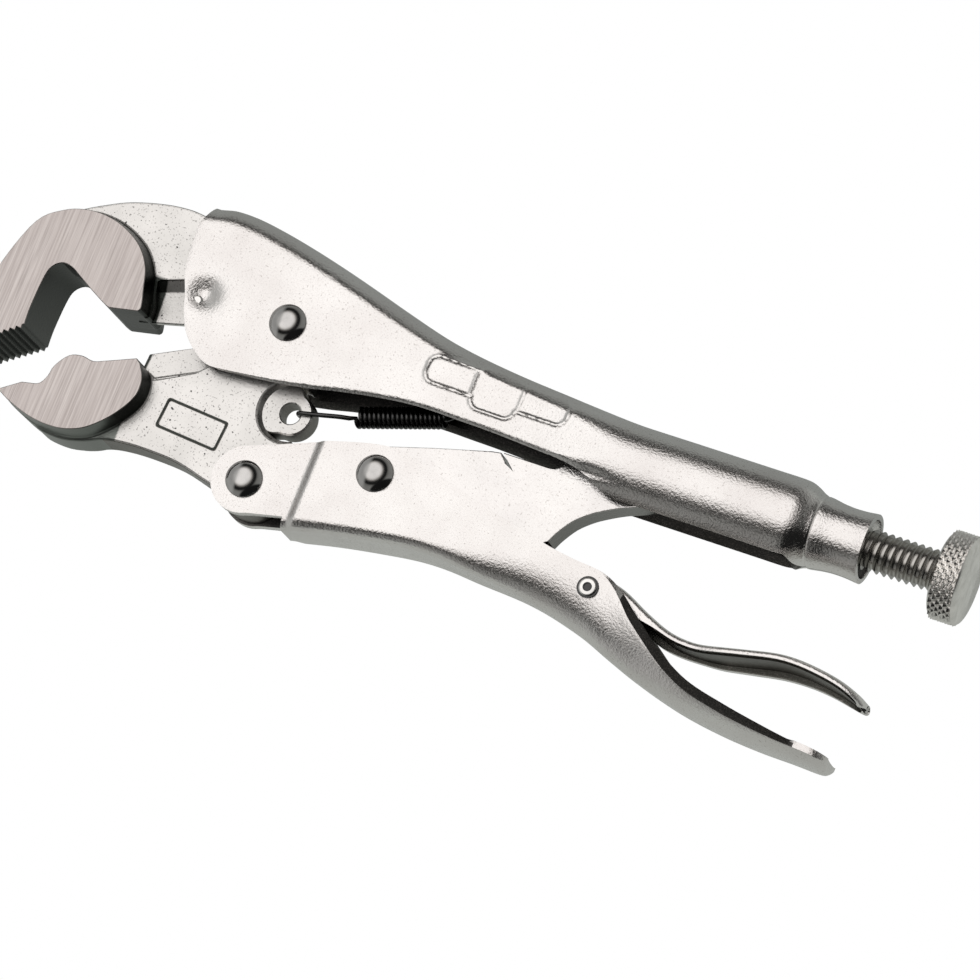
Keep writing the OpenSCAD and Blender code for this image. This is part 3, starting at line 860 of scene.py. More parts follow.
web_levels = [(3.4, pushed(bitten_web(5.9), -0.4)), (3.25, pushed(bitten_web(5.9), -0.1)),
              (3.0, bitten_web(5.75)), (2.3, bitten_web(5.3))]
lower_web = prism("lower_web", [(-z, loop) for z, loop in web_levels] + web_levels[::-1])
# the pad in the recess, round the eye that the spring is hooked into
eye_levels = ((2.3, 2.15), (2.15, 1.95), (-2.15, 1.95), (-2.3, 2.15))
rim_levels = ((-2.3, 0.3), (-2.0, 0.0), (2.0, 0.0), (2.3, 0.3))
pad_sides, pad_radius, pad_reach, pad_lean = 72, 4.1, 1.5, 0.25
pad_rings = [[(x, y, z) for x, y in oval(spring_eye, hole, hole, pad_sides)]
             for z, hole in eye_levels]
for z, inset in rim_levels:
    ring = []
    for k in range(pad_sides):
        a = math.tau * k / pad_sides
        reach = pad_radius + pad_reach * ease(-0.15, 0.45, -math.cos(a + pad_lean)) - inset
        ring.append((spring_eye[0] + reach * math.cos(a), spring_eye[1] + reach * math.sin(a), z))
    pad_rings.append(ring)
spring_pad = solid("spring_pad", skin(pad_rings + [pad_rings[0]], wrap=True))
boss_radius = 8.4
lower_boss = slab("lower_boss", oval((0, 0), boss_radius, boss_radius, 64), root_half, 0.3)
lower_blade = blade("lower_blade", (-24.5, -8.0), (
    [(0, -18.6, 3.2), (0, -18.3, 3.35), (0, -17.9, 2.7), (0, -12.4, 1.9)],
    [(0, -10.6, 3.2), (0, -10.3, 3.35), (0, -9.9, 2.7), (0, -4.4, 1.9)]))
# the raised frame of the web is left without a marking
frame_centre, frame_turn = Vector((-11.1, -22.5)), math.radians(-4.6)


def framed(half_long, half_high, corner):
    loop = []
    for quarter, (sx, sy) in enumerate(((1, 1), (-1, 1), (-1, -1), (1, -1))):
        for k in range(4):
            a = math.pi / 2 * (quarter + k / 3)
            x = sx * (half_long - corner) + corner * math.cos(a)
            y = sy * (half_high - corner) + corner * math.sin(a)
            turn_x = x * math.cos(frame_turn) - y * math.sin(frame_turn)
            turn_y = x * math.sin(frame_turn) + y * math.cos(frame_turn)
            loop.append((frame_centre.x + turn_x, frame_centre.y + turn_y))
    return loop


def raised_frame(name, side):
    outer, inner = framed(6.45, 3.05, 0.6), framed(5.75, 2.35, 0.35)
    crest_out, crest_in = framed(6.25, 2.85, 0.5), framed(5.95, 2.55, 0.4)
    rings = [[(x, y, side * z) for x, y in loop]
             for loop, z in ((outer, 3.3), (crest_out, 3.72), (crest_in, 3.72), (inner, 3.3))]
    return solid(name, skin(rings + [rings[0]], wrap=True))


lower_jaw = joined(lower_head, lower_web, spring_pad, lower_boss, lower_blade,
                   raised_frame("frame near", 1), raised_frame("frame far", -1))
lower_jaw.name = "lower_jaw_forging"
lower_jaw.data.set_sharp_from_angle(angle=forging_crease)
dress(lower_jaw, moving_steel, "jaw_body", "lower_jaw")
# painted shade: the web's narrow sides get a darker nickel
side_shade_brown, side_shade_dark = (0.17, 0.165, 0.15, 1.0), (0.09, 0.085, 0.075, 1.0)
shaded_web_sides = satin_nickel("forged side", side_shade_brown, side_shade_dark, 0.03 * MM, 0.30, 0.40)
lower_jaw.data.materials.append(shaded_web_sides)
for face in lower_jaw.data.polygons:
    place = (face.center - hub) / MM
    if abs(face.normal.z) < 0.45 and abs(place.z) < 3.35 and place.x > -26 and place.y < -10:
        face.material_index = 1

# ---------------------------------------------------------------------------
# Rivets: three headed steel rivets with polished domes on both sides. One
# joins the jaw to the upper handle, two carry the lower handle.
# ---------------------------------------------------------------------------


class Maker:
    """One Geometry Nodes tree; node() adds any node, input() names a size."""

    def __init__(self, name):
        self.tree = bpy.data.node_groups.new(name, "GeometryNodeTree")
        self.tree.interface.new_socket("Geometry", in_out="OUTPUT",
                                       socket_type="NodeSocketGeometry")
        self.given = None

    def input(self, name, kind="NodeSocketFloat"):
        self.tree.interface.new_socket(name, in_out="INPUT", socket_type=kind)
        if self.given is None:
            self.given = self.tree.nodes.new("NodeGroupInput")
        return self.given.outputs[name]

    def node(self, kind, settings=None, sockets=None, out=0):
        made = self.tree.nodes.new(kind)
        for key, value in (settings or {}).items():
            setattr(made, key, value)
        for key, value in (sockets or {}).items():
            for one in value if isinstance(value, list) else [value]:
                if isinstance(one, bpy.types.NodeSocket):
                    self.tree.links.new(one, made.inputs[key])
                else:
                    made.inputs[key].default_value = one
        return made.outputs[out]

    def sum(self, operation, *values):
        return self.node("ShaderNodeMath", {"operation": operation}, dict(enumerate(values)))

    def point(self, x=0.0, y=0.0, z=0.0):
        return self.node("ShaderNodeCombineXYZ", {}, {0: x, 1: y, 2: z})

    def finish(self, geometry, material):
        real = self.node("GeometryNodeRealizeInstances", {}, {"Geometry": geometry})
        painted = self.node("GeometryNodeSetMaterial", {},
                            {"Geometry": real, "Material": material})
        output = self.tree.nodes.new("NodeGroupOutput")
        self.tree.links.new(painted, output.inputs[0])
        return self.tree


def grown(name, tree, sizes, base=None):
    """A plain mesh from a tree, with its named sizes set."""
    mesh = bpy.data.meshes.new(name) if base is None else base
    made = bpy.data.objects.new(name, mesh)
    bpy.context.scene.collection.objects.link(made)
    growth = made.modifiers.new("growth", "NODES")
    growth.node_group = tree
    for item in tree.interface.items_tree:
        if item.in_out == "INPUT" and item.name in sizes:
            growth[item.identifier] = sizes[item.name]
    bpy.context.view_layer.update()
    graph = bpy.context.evaluated_depsgraph_get()
    shaped = bpy.data.meshes.new_from_object(made.evaluated_get(graph))
    bpy.data.objects.remove(made)
    plain = bpy.data.objects.new(name, shaped)
    bpy.context.scene.collection.objects.link(plain)
    bm = bmesh.new()
    bm.from_mesh(shaped)
    bmesh.ops.remove_doubles(bm, verts=bm.verts, dist=0.000002)
    bm.to_mesh(shaped)
    bm.free()
    shaped.shade_smooth()
    return plain


dark_mirror = polished_steel("polished rivet steel", (0.58, 0.57, 0.56, 1.0), 0.07)
rivets = Maker("domed rivet")
rivet_place = rivets.input("Place", "NodeSocketVector")
rivet_grip = rivets.input("Grip")
head_radius = rivets.input("Head radius")
head_height = rivets.input("Head height")
shank_radius = rivets.input("Shank radius")
cap_turn = math.radians(54)
cap_low, cap_wide = math.cos(cap_turn), math.sin(cap_turn)
skirt_share = 0.2
ball = rivets.node("GeometryNodeMeshUVSphere", {}, {"Segments": 64, "Rings": 80, "Radius": 1.0})
above = rivets.node("GeometryNodeInputPosition")
rise = rivets.node("ShaderNodeSeparateXYZ", {}, {0: above}, out=2)
is_low = rivets.node("FunctionNodeCompare", {"operation": "LESS_THAN"},
                     {0: rise, 1: cap_low - 0.005})
dome = rivets.node("GeometryNodeDeleteGeometry", {}, {"Geometry": ball, "Selection": is_low})
cap_rise = (1 - skirt_share) / (1 - cap_low)
dome = rivets.node("GeometryNodeTransform", {}, {
    "Geometry": dome, "Scale": (1 / cap_wide, 1 / cap_wide, cap_rise),
    "Translation": (0.0, 0.0, skirt_share - cap_low * cap_rise)})
skirt = rivets.node("GeometryNodeMeshCylinder", {"fill_type": "NONE"},
                    {"Vertices": 64, "Radius": 1.0, "Depth": skirt_share + 0.1})
skirt = rivets.node("GeometryNodeTransform", {}, {
    "Geometry": skirt, "Translation": (0.0, 0.0, (skirt_share - 0.1) / 2)})
head = rivets.node("GeometryNodeJoinGeometry", {}, {"Geometry": [dome, skirt]})
head_size = rivets.point(head_radius, head_radius, head_height)
half_grip = rivets.sum("MULTIPLY", rivet_grip, 0.5)
near_end = rivets.node("GeometryNodeMeshLine", {"mode": "END_POINTS"}, {
    "Count": 2, "Start Location": rivets.point(0, 0, half_grip),
    "Offset": rivets.point(0, 0, rivets.sum("MULTIPLY", half_grip, -1.0))})
end_number = rivets.node("GeometryNodeInputIndex")
flip = rivets.point(rivets.sum("MULTIPLY", end_number, math.pi))
heads = rivets.node("GeometryNodeInstanceOnPoints", {}, {
    "Points": near_end, "Instance": head, "Rotation": flip, "Scale": head_size})
shank = rivets.node("GeometryNodeMeshCylinder", {}, {
    "Vertices": 48, "Radius": shank_radius, "Depth": rivet_grip})
whole = rivets.node("GeometryNodeJoinGeometry", {}, {"Geometry": [heads, shank]})
whole = rivets.node("GeometryNodeTransform", {}, {"Geometry": whole, "Translation": rivet_place})
rivet_tree = rivets.finish(whole, dark_mirror)
rivet_head, rivet_shank = 1.9 * MM, 3.0 * MM
for node, body in (("main_rivet", "upper_body"), ("handle_rivet", "grip_body"),
                   ("link_rivet", "grip_body")):
    low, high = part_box(node)
    made = grown(node + "_headed", rivet_tree, {
        "Place": (low + high) / 2, "Grip": high.z - low.z - 2 * rivet_head,
        "Head radius": (high.x - low.x) / 2, "Head height": rivet_head,
        "Shank radius": rivet_shank})
    made.data.set_sharp_from_angle(angle=math.radians(60))
    dress(made, dark_mirror, body, node)

# ---------------------------------------------------------------------------
# Lower handle: one stamping of 1.9 mm sheet, a channel open upwards. In front
# its two ears are set in to hold the jaw; behind it rounds out into the grip.
# ---------------------------------------------------------------------------

belly_height = height_along(
    [(12.4, -35.7), (21.3, -33.8), (29.2, -32.5), (36.3, -31.6), (42, -31.5), (47.8, -32),
     (59.7, -33.2), (70, -35.6), (77, -38.2), (82, -40), (88, -41.8), (94, -43.2),
     (101, -44.2), (108, -44.7), (115, -44.8), (121.2, -45.1)])
rim_height = height_along(
    [(9, -20.2), (14, -18.5), (22, -16.3), (26, -15.6), (28.9, -15.6), (32.3, -16.3), (38, -17.9),
     (43.7, -19.4), (50.7, -21.1), (60.9, -23.4), (66, -24.2), (71.3, -24.7), (74, -25.5),
     (76.6, -27), (79.3, -29.2), (83.4, -32.3), (88, -35.5), (93.4, -38.1), (101, -39.9),
     (107.6, -41.1), (113.5, -42.0), (116.4, -42.2), (118.6, -42.4), (121.4, -42.7)])
corner_height = height_along(
    [(12.4, 2.2), (40, 2.2), (47, 3.6), (54, 6.2), (62, 8.6), (70, 10.2), (78, 10.4),
     (80, 9.5), (92, 9.0), (121.4, 9.0)])
ear_radius = 6.3
lower_tip = 121.3
lower_half_wide = 6.5
ear_half = 5.4


def lower_half(x):
    """Half the width of the lower handle over its walls."""
    joggle = ear_half + (lower_half_wide - ear_half) * ease(13.1, 15.0, x)
    round_start, round_long = 117.4, lower_tip - 117.4
    if x > round_start:
        t = min((x - round_start) / round_long, 1.0)
        joggle *= 0.52 + 0.48 * math.sqrt(max(1 - t ** 2, 0))
    return joggle


def ear_band(x):
    """Bottom and top of the wall where it is an ear round its rivet."""
    reach = max(ear_radius ** 2 - (x - handle_hub[0]) ** 2, 0.0)
    low = handle_hub[1] - math.sqrt(reach)
    high = handle_hub[1] + math.sqrt(reach)
    if x > handle_hub[0] + 1.0:
        low = low + (-35.0 - low) * ease(4.0, 8.0, x)
    shoulder = handle_hub[0] - ear_radius * math.sin(math.radians(28))
    if x > shoulder:
        base = handle_hub[1] + ear_radius * math.cos(math.radians(28))
        high = base + (rim_height(max(x, 9)) - base) * min((x - shoulder) / (9.6 - shoulder), 1)
        if x > 9.6:
            high = rim_height(x)
    return low, high


wall_rows, corner_rows, floor_rows, crease_rows = 22, 12, 5, 6
ear_left = handle_hub[0] - ear_radius
ear_stations = [ear_left + (14.0 - ear_left) * (1 - math.cos(math.pi / 2 * k / 30))
                for k in range(1, 22)]
ear_stations = [x for x in ear_stations if x < 12.0]
rows_near = []
rows_near.append([(ear_left, handle_hub[1], ear_half)] * (wall_rows + 1))
for x in ear_stations:
    low, high = ear_band(x)
    rows_near.append([(x, low + (high - low) * k / wall_rows, lower_half(x))
                      for k in range(wall_rows + 1)])
tongue_start = 112.8
channel_stations = [x for x in paces((12.4, 0.35, 12), (17, 1.15, 91)) if x < 112.5]
channel_stations += [tongue_start + (lower_tip - tongue_start) * math.sin(math.pi / 2 * k / 16)
                     for k in range(17)]
channel = []
for x in channel_stations:
    half = lower_half(x)
    low, high = belly_height(x), rim_height(x)
    if x < 14:
        high = max(high, ear_band(x)[1])
    high = max(high, low + 0.25)
    # the tongue ends in a blunt, rounded lip
    lip_turn = min(max((x - 120.0) / (lower_tip - 120.0), 0.0), 1.0)
    low += (high - low) * 0.9 * (1 - math.sqrt(1 - lip_turn ** 2))
    up = min(corner_height(x), high - low - 0.05)
    wide = min(2.4 + 2.9 * ease(44, 66, x), half * 0.96)
    # towards the tail the wall's upper edge folds inwards along a crease
    crease_share = ease(71, 80, x)
    crease_in = 1.2 * crease_share * (1 - ease(113.5, 115.5, x))
    even_down = (high - low - up) * crease_rows / wall_rows
    crease_down = min(even_down + (1.9 - even_down) * crease_share, (high - low) * 0.45)
    up = min(up, high - low - crease_down - 0.02)
    section = []
    for k in range(crease_rows):
        v = k / crease_rows
        section.append((x, high - crease_down * v, half - crease_in * (1 - v)))
    for k in range(crease_rows, wall_rows + 1):
        v = (k - crease_rows) / (wall_rows - crease_rows)
        section.append((x, high - crease_down - (high - crease_down - low - up) * v, half))
    first_turn = math.radians(4 + 42 * ease(72, 84, x))
    for k in range(1, corner_rows + 1):
        turn = first_turn + (math.pi / 2 - first_turn) * k / corner_rows
        sunk = (math.sin(turn) - math.sin(first_turn)) / (1 - math.sin(first_turn))
        inset = (math.cos(first_turn) - math.cos(turn)) / math.cos(first_turn)
        section.append((x, low + up * (1 - sunk), half - wide * inset))
    for k in range(1, floor_rows + 1):
        section.append((x, low, (half - wide) * (1 - k / floor_rows)))
    channel.append(section + [(px, y, -z) for px, y, z in reversed(section[:-1])])
bm = skin(channel)
rows_near.append([channel[0][wall_rows - k] for k in range(wall_rows + 1)])


def add_sheet(bm, rows):
    """More rows of faces in the same mesh."""
    grid = [[bm.verts.new(spot(*p)) for p in row] for row in rows]
    for a, b in zip(grid, grid[1:]):
        for i in range(len(a) - 1):
            bm.faces.new((a[i], a[i + 1], b[i + 1], b[i]))


add_sheet(bm, rows_near)
add_sheet(bm, [[(x, y, -z) for x, y, z in row] for row in rows_near])
bmesh.ops.remove_doubles(bm, verts=bm.verts, dist=0.00002)
bmesh.ops.dissolve_degenerate(bm, edges=bm.edges, dist=0.000002)
lower_handle = solid("lower_handle_stamping", bm, turn_out=False)
sheet_metal(lower_handle, sheet_thickness, 0.38, Vector((0, -1, 0)),
            thin_from=lambda x: 1 - 0.62 * ease(106, 117, x))
settle(lower_handle, 38)
# painted shade: the folded edge of the tail gets the dark inside material
for face in lower_handle.data.polygons:
    place = (face.center - hub) / MM
    below_rim = rim_height(place.x) - place.y
    if 77 < place.x < 115 and below_rim < 1.8 and face.normal.y > 0.25:
        face.material_index = 1
dress(lower_handle, None, "grip_body", "lower_handle")

# ---------------------------------------------------------------------------
# Toggle link: a bar blanked from 5.5 mm plate, nickel plated. It hangs on the
# link rivet, and its round nose reaches into the tube, under the screw.
# ---------------------------------------------------------------------------

link_hub = (26.0, -21.0)
link_nose = (77.9, -7.3)
link_line = arc(link_hub, 6.2, 105, 276, 9)
link_line += through([(34, -26.2), (44, -24.8), (53, -23.6), (58.3, -22.9)])
link_line += through([(59.5, -22), (60.4, -20.1), (62.2, -17.4), (64.5, -15.3), (66.8, -13.8),
                      (69.6, -12.3), (72.3, -11.2), (76, -9.6)])
link_line += arc(link_nose, 2.4, -60, 111, 17)
link_line += through([(72, -6.2), (64, -6), (58, -7), (56.4, -8.6), (55.2, -9.2), (54, -9.3)])
link_line += [Vector((45.7, -9.3)), Vector((48.5, -12.2)), Vector((46.6, -10.9)),
              Vector((45.2, -9.45)), Vector((43.6, -9.7)), Vector((33, -12.5))]
link_plate = slab("toggle_link_plate", link_line, 2.75, 0.22)
link_boss = prism("link boss", [(z, oval(link_hub, 4.7, 4.7, 48)) for z in (-4.5, 4.5)])
joined(link_plate, link_boss)
link_plate.data.set_sharp_from_angle(angle=forging_crease)
# painted shade on the link's sides, within 2.6 mm of the middle plane
link_nickel = satin_nickel("satin nickel link", (0.84, 0.825, 0.81, 1.0),
                           (0.76, 0.74, 0.73, 1.0), 0.00005, 0.13, 0.22, 2.6)
dress(link_plate, link_nickel, "link_body", "toggle_link")

# ---------------------------------------------------------------------------
# Release lever: a shallow channel of 1.4 mm sheet, hollow side down, pressed
# into a wave for the finger and rounded off at its tongue.
# ---------------------------------------------------------------------------

lever_top = height_along(
    [(62.5, -25.4), (66, -24.9), (70.5, -24.9), (75.8, -25.9), (81.7, -28.6), (86.5, -30.4),
     (90.7, -30.9), (94.8, -30.5), (100.4, -29.3), (106.2, -28.1), (110.1, -27.9),
     (114.4, -28.3), (118.7, -29.1), (122.3, -30.3), (123.9, -31.1)])
lever_bottom = height_along(
    [(62.5, -28), (67, -30.2), (70.5, -31.2), (76, -30.6), (80, -30.9), (84.5, -32.5),
     (89, -33.0), (95, -32.7), (101, -31.7), (107, -30.7), (112, -30.5), (116.5, -30.9),
     (120.4, -31.7), (123.2, -32.3), (123.9, -32.1)])
lever_tip = 123.95
tongue_round = 115


def lever_half(x):
    """Half the width of the lever over its flanges."""
    wide = 4.3 + 0.9 * ease(91, 97, x)
    if x > tongue_round:
        t = min((x - tongue_round) / (lever_tip - tongue_round), 1.0)
        wide *= 0.3 + 0.7 * math.sqrt(max(1 - t ** 2.5, 0))
    if x < 66:
        wide *= 0.92 + 0.08 * ease(62.5, 66, x)
    return wide


lever_rows = []
stations = paces((62.5, 1.05, 50))
stations += [tongue_round + (lever_tip - tongue_round) * math.sin(math.pi / 2 * k / 16)
             for k in range(17)]
for x in stations:
    half, high, low = lever_half(x), lever_top(x), lever_bottom(x)
    low = min(low, high - 0.25)
    near_low = low + (max(high - 1.25, low) - low) * ease(76, 86, x)
    section = []
    round_in = min(1.9, half * 0.95)
    for side, foot in ((1, near_low), (-1, low)):
        round_down = min(0.95, (high - foot) * 0.8)
        flank = [(x, foot + (high - round_down - foot) * k / 5, side * half)
                 for k in range(6)]
        for k in range(1, 10):
            turn = math.pi / 2 * k / 9
            flank.append((x, high - round_down * (1 - math.sin(turn)),
                          side * (half - round_in * (1 - math.cos(turn)))))
        for k in range(1, 5):
            flank.append((x, high, side * (half - round_in) * (1 - k / 4)))
        section += flank if side > 0 else flank[-2::-1]
    lever_rows.append(section)
# painted shade: the underside of the lever, inside its channel, is made dark nickel
lever_shade_grey, lever_shade_dark = (0.13, 0.13, 0.115, 1.0), (0.08, 0.08, 0.07, 1.0)
lever_painted_shade = satin_nickel("nickel inside the lever", lever_shade_grey, lever_shade_dark,
                            0.02 * MM, 0.30, 0.40)
release_lever = solid("release_lever_pressing", skin(lever_rows), turn_out=False)
lever_thickness = 1.4
sheet_metal(release_lever, lever_thickness, 0.22, Vector((0, 1, 0)), inside=lever_painted_shade)
settle(release_lever, 38)
dress(release_lever, None, "lever_body", "release_lever")

# ---------------------------------------------------------------------------
# Lever pin: a tubular rivet through the lower handle's walls. Both its ends
# are rolled outwards into a ring.
# ---------------------------------------------------------------------------

spring_black = polished_steel("blackened steel", (0.075, 0.075, 0.075, 1.0), 0.22)
lever_hub = (70.5, -28.2)
hollow, rim_radius, pin_reach = 0.65, 2.0, 6.85
half_profile = [(5.9, 1.6), (6.45, rim_radius - 0.05), (6.53, rim_radius),
                (6.55, rim_radius - 0.05), (6.55, 1.68), (6.7, 1.62), (6.82, 1.45),
                (pin_reach, 1.2), (pin_reach, 0.85), (6.78, hollow), (6.62, hollow - 0.02),
                (6.6, 0.3)]
pin_profile = [(-along, radius) for along, radius in reversed(half_profile)] + half_profile
lever_pin = turned("lever_pin_rolled", lever_hub, pin_profile)
settle(lever_pin, 60)
dress(lever_pin, pin_steel, "grip_body", "lever_pin")
lever_pin.data.materials.append(spring_black)
# painted shade: the hollow of each rolled end gets the black steel, and so does the outer ring of
# the roll
for face in lever_pin.data.polygons:
    place = (face.center - hub) / MM
    out = math.hypot(place.x - lever_hub[0], place.y - lever_hub[1])
    if out > 1.64 or out < 0.80:
        face.material_index = 1

# ---------------------------------------------------------------------------
# Adjusting screw: a 5/16 inch bolt with a coarse rolled thread. It runs in
# the collar, and its plain point meets the nose of the link inside the tube.
# ---------------------------------------------------------------------------

screw_steel = polished_steel("screw steel", (0.50, 0.485, 0.46, 1.0), 0.20)
screws = Maker("rolled thread")
thread_start = screws.input("Start", "NodeSocketVector")
thread_length = screws.input("Length")
thread_turns = screws.input("Turns")
crest_radius = screws.input("Crest radius")
root_radius = screws.input("Root radius")
pitch = screws.sum("DIVIDE", thread_length, thread_turns)
helix = screws.node("GeometryNodeCurveSpiral", {}, {
    "Resolution": 48, "Rotations": thread_turns, "Start Radius": root_radius,
    "End Radius": root_radius, "Height": thread_length})
ridge_high = screws.sum("SUBTRACT", crest_radius, root_radius)
ridge_corners = {}
for number, (share, rise) in enumerate(((0.46, 0), (0.07, ridge_high), (-0.07, ridge_high),
                                        (-0.46, 0)), 1):
    side = screws.sum("MULTIPLY", pitch, share)
    ridge_corners["Point %d" % number] = screws.point(side, rise, 0)
rounded_ridge = screws.node("GeometryNodeCurvePrimitiveQuadrilateral", {"mode": "POINTS"},
                            ridge_corners)
thread_line = screws.node("GeometryNodeSetCurveNormal", {"mode": "Z_UP"}, {"Curve": helix})
ridge = screws.node("GeometryNodeCurveToMesh", {}, {
    "Curve": thread_line, "Profile Curve": rounded_ridge, "Fill Caps": True})
core = screws.node("GeometryNodeMeshCylinder", {}, {
    "Vertices": 48, "Radius": screws.sum("MULTIPLY", root_radius, 1.01),
    "Depth": thread_length})
half_way = screws.sum("MULTIPLY", thread_length, 0.5)
core = screws.node("GeometryNodeTransform", {}, {
    "Geometry": core, "Translation": screws.point(0, 0, half_way)})
bolt = screws.node("GeometryNodeJoinGeometry", {}, {"Geometry": [ridge, core]})
bolt = screws.node("GeometryNodeTransform", {}, {
    "Geometry": bolt, "Translation": thread_start, "Rotation": (0.0, math.pi / 2, 0.0)})
thread_tree = screws.finish(bolt, screw_steel)
screw_low, screw_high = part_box("adjusting_screw")
knob_low, knob_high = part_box("knurled_knob")
screw_axis = (screw_low + screw_high) / 2
lead, crest, root = 1.4111, 3.93, 3.15
thread_reach = (knob_low.x - screw_low.x) / MM - 0.4
adjusting_screw = grown("adjusting_screw_threaded", thread_tree, {
    "Start": Vector((screw_low.x, screw_axis.y, screw_axis.z)),
    "Length": thread_reach * MM, "Turns": thread_reach / lead,
    "Crest radius": crest * MM, "Root radius": root * MM})
adjusting_screw.data.set_sharp_from_angle(angle=math.radians(30))
shoulder_x = (knob_low.x - hub.x) / MM
shoulder = turned("screw shoulder", (tube_y, 0.0),
                  [(shoulder_x - 1.3, 2.0), (shoulder_x - 1.2, 3.3), (shoulder_x - 0.2, 3.4),
                   (shoulder_x + 0.3, 3.3), (shoulder_x + 0.35, 0.5)], axis="X")
joined(adjusting_screw, shoulder)
dress(adjusting_screw, screw_steel, "screw_body", "adjusting_screw")
tip_low, tip_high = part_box("screw_tip")
point_a, point_b = (tip_low.x - hub.x) / MM, (tip_high.x - hub.x) / MM
screw_point = turned("screw_tip_turned", (tube_y, 0.0),
                     [(point_a, 0.3), (point_a + 0.02, 1.7), (point_a + 0.3, 2.2),
                      (point_a + 0.7, 2.55), (point_b, 2.6), (point_b + 0.01, 0.3)], axis="X")
settle(screw_point)
dress(screw_point, screw_steel, "screw_tip_body", "screw_tip")

# ---------------------------------------------------------------------------
# Knob: the screw's head, turned from bar, with a coarse diamond knurl rolled
# round its rim and plain chamfered faces.
# ---------------------------------------------------------------------------

knob_steel = polished_steel("knob steel", (0.90, 0.88, 0.85, 1.0), 0.20)
flat_crest = 0.82
knobs = Maker("diamond knurl")
knob_radius = knobs.input("Radius")
knurl_depth = knobs.input("Depth")
knurl_around = knobs.input("Diamonds around")
knurl_along = knobs.input("Diamonds along")
sheet = knobs.node("GeometryNodeMeshGrid", {}, {
    "Size X": 1.0, "Size Y": 1.0, "Vertices X": 289, "Vertices Y": 37})
where = knobs.node("GeometryNodeInputPosition")
around = knobs.node("ShaderNodeSeparateXYZ", {}, {0: where})
along = around.node.outputs[1]


def groove(kind):
    """One family of V grooves, as a height from 0 to 1 across each ridge."""
    lane = knobs.sum(kind, knobs.sum("MULTIPLY", around, knurl_around),
                     knobs.sum("MULTIPLY", along, knurl_along))
    return knobs.sum("MULTIPLY", knobs.sum("PINGPONG", lane, 0.5), 2.0)


height = knobs.sum("MINIMUM", groove("ADD"), groove("SUBTRACT"))
height = knobs.sum("MINIMUM", height, flat_crest)
angle = knobs.sum("MULTIPLY", around, math.tau)
reach = knobs.sum("SUBTRACT", knob_radius,
                  knobs.sum("MULTIPLY", knurl_depth, knobs.sum("SUBTRACT", flat_crest, height)))
wrapped = knobs.point(knobs.sum("MULTIPLY", along, knobs.input("Width")),
                      knobs.sum("MULTIPLY", knobs.sum("COSINE", angle), reach),
                      knobs.sum("MULTIPLY", knobs.sum("SINE", angle), reach))
rim = knobs.node("GeometryNodeSetPosition", {}, {"Geometry": sheet, "Position": wrapped})
rim = knobs.node("GeometryNodeTransform", {}, {
    "Geometry": rim, "Translation": knobs.input("Place", "NodeSocketVector")})
knob_tree = knobs.finish(rim, knob_steel)
knob_mid = (knob_low + knob_high) / 2
chamfer, knurl_deep = 0.55, 0.62
knob_half = (knob_high.x - knob_low.x) / MM / 2 - 0.02
rim_r = (knob_high.z - knob_low.z) / MM / 2
knob = grown("knurled_knob_rim", knob_tree, {
    "Radius": (rim_r - 0.01) * MM, "Depth": knurl_deep * MM, "Diamonds around": 30.0,
    "Diamonds along": 3.0, "Width": 2 * (knob_half - chamfer) * MM, "Place": knob_mid})
knob.data.set_sharp_from_angle(angle=math.radians(25))
mid_x = (knob_mid.x - hub.x) / MM
left, right = mid_x - knob_half, mid_x + knob_half
knob_body = turned("knob body", (tube_y, 0.0),
                   [(left, 0.4), (left + 0.01, 7.0), (left + 0.12, 7.3),
                    (left + chamfer, rim_r - 0.3), (left + chamfer + 0.1, rim_r - 0.6),
                    (right - chamfer - 0.1, rim_r - 0.6), (right - chamfer, rim_r - 0.12),
                    (right - 0.12, 7.65), (right - 0.01, 7.4), (right, 0.4)],
                   axis="X", sides=96)
settle(knob_body, 30)
joined(knob, knob_body)
dress(knob, knob_steel, "screw_body", "knurled_knob")

# ---------------------------------------------------------------------------
# Tension spring: black music wire in a close coil. One hook goes through the
# jaw's eye, the other round the strap under the back of the upper handle.
# ---------------------------------------------------------------------------

wires = Maker("wire along a line")
wire_line = wires.input("Line", "NodeSocketObject")
wire_radius = wires.input("Wire radius")
line = wires.node("GeometryNodeObjectInfo", {}, {"Object": wire_line}, out="Geometry")
ring = wires.node("GeometryNodeCurvePrimitiveCircle", {}, {"Resolution": 10,
                                                           "Radius": wire_radius})
wire = wires.node("GeometryNodeCurveToMesh", {}, {"Curve": line, "Profile Curve": ring,
                                                  "Fill Caps": True})
wire_tree = wires.finish(wire, spring_black)
wire_half, coil_radius, coil_turns, coil_long = 0.425, 1.625, 19, 16.4
eye = Vector((spring_eye[0], spring_eye[1], 0))
coil_end = Vector((32.4, -6.1, 0))
coil_way = (coil_end - eye).normalized()
coil_start = coil_end - coil_way * coil_long
side_way = Vector((-coil_way.y, coil_way.x, 0))
hook_reach = 2.95
path = []
# from the free end: down through the eye, along the near side, into the coil
for along, aside, z in ((3.6, -0.9, -2.2), (2.6, -0.5, -2.75), (1.75, -0.1, -2.6),
                        (1.3, 0.1, -1.6), (1.25, 0.15, 0.0), (1.3, 0.1, 1.7),
                        (1.8, 0.0, 2.75), (3.2, -0.2, hook_reach), (6.0, -0.45, hook_reach),
                        (9.0, -0.6, 2.6), (10.9, -0.7, 2.0)):
    path.append(eye + coil_way * along + side_way * aside + Vector((0, 0, z)))
path = through(path, 5)
steps = 24
for k in range(coil_turns * steps + 1):
    turn = math.radians(110) + math.tau * k / steps
    along = coil_long * k / (coil_turns * steps)
    path.append(coil_start + coil_way * along
                + side_way * coil_radius * math.cos(turn)
                + Vector((0, 0, coil_radius * math.sin(turn))))
strap_hub, ring_radius = Vector((strap_x, 2.4, 0)), 1.4
last = path[-1]
approach = (strap_hub - coil_end).normalized()
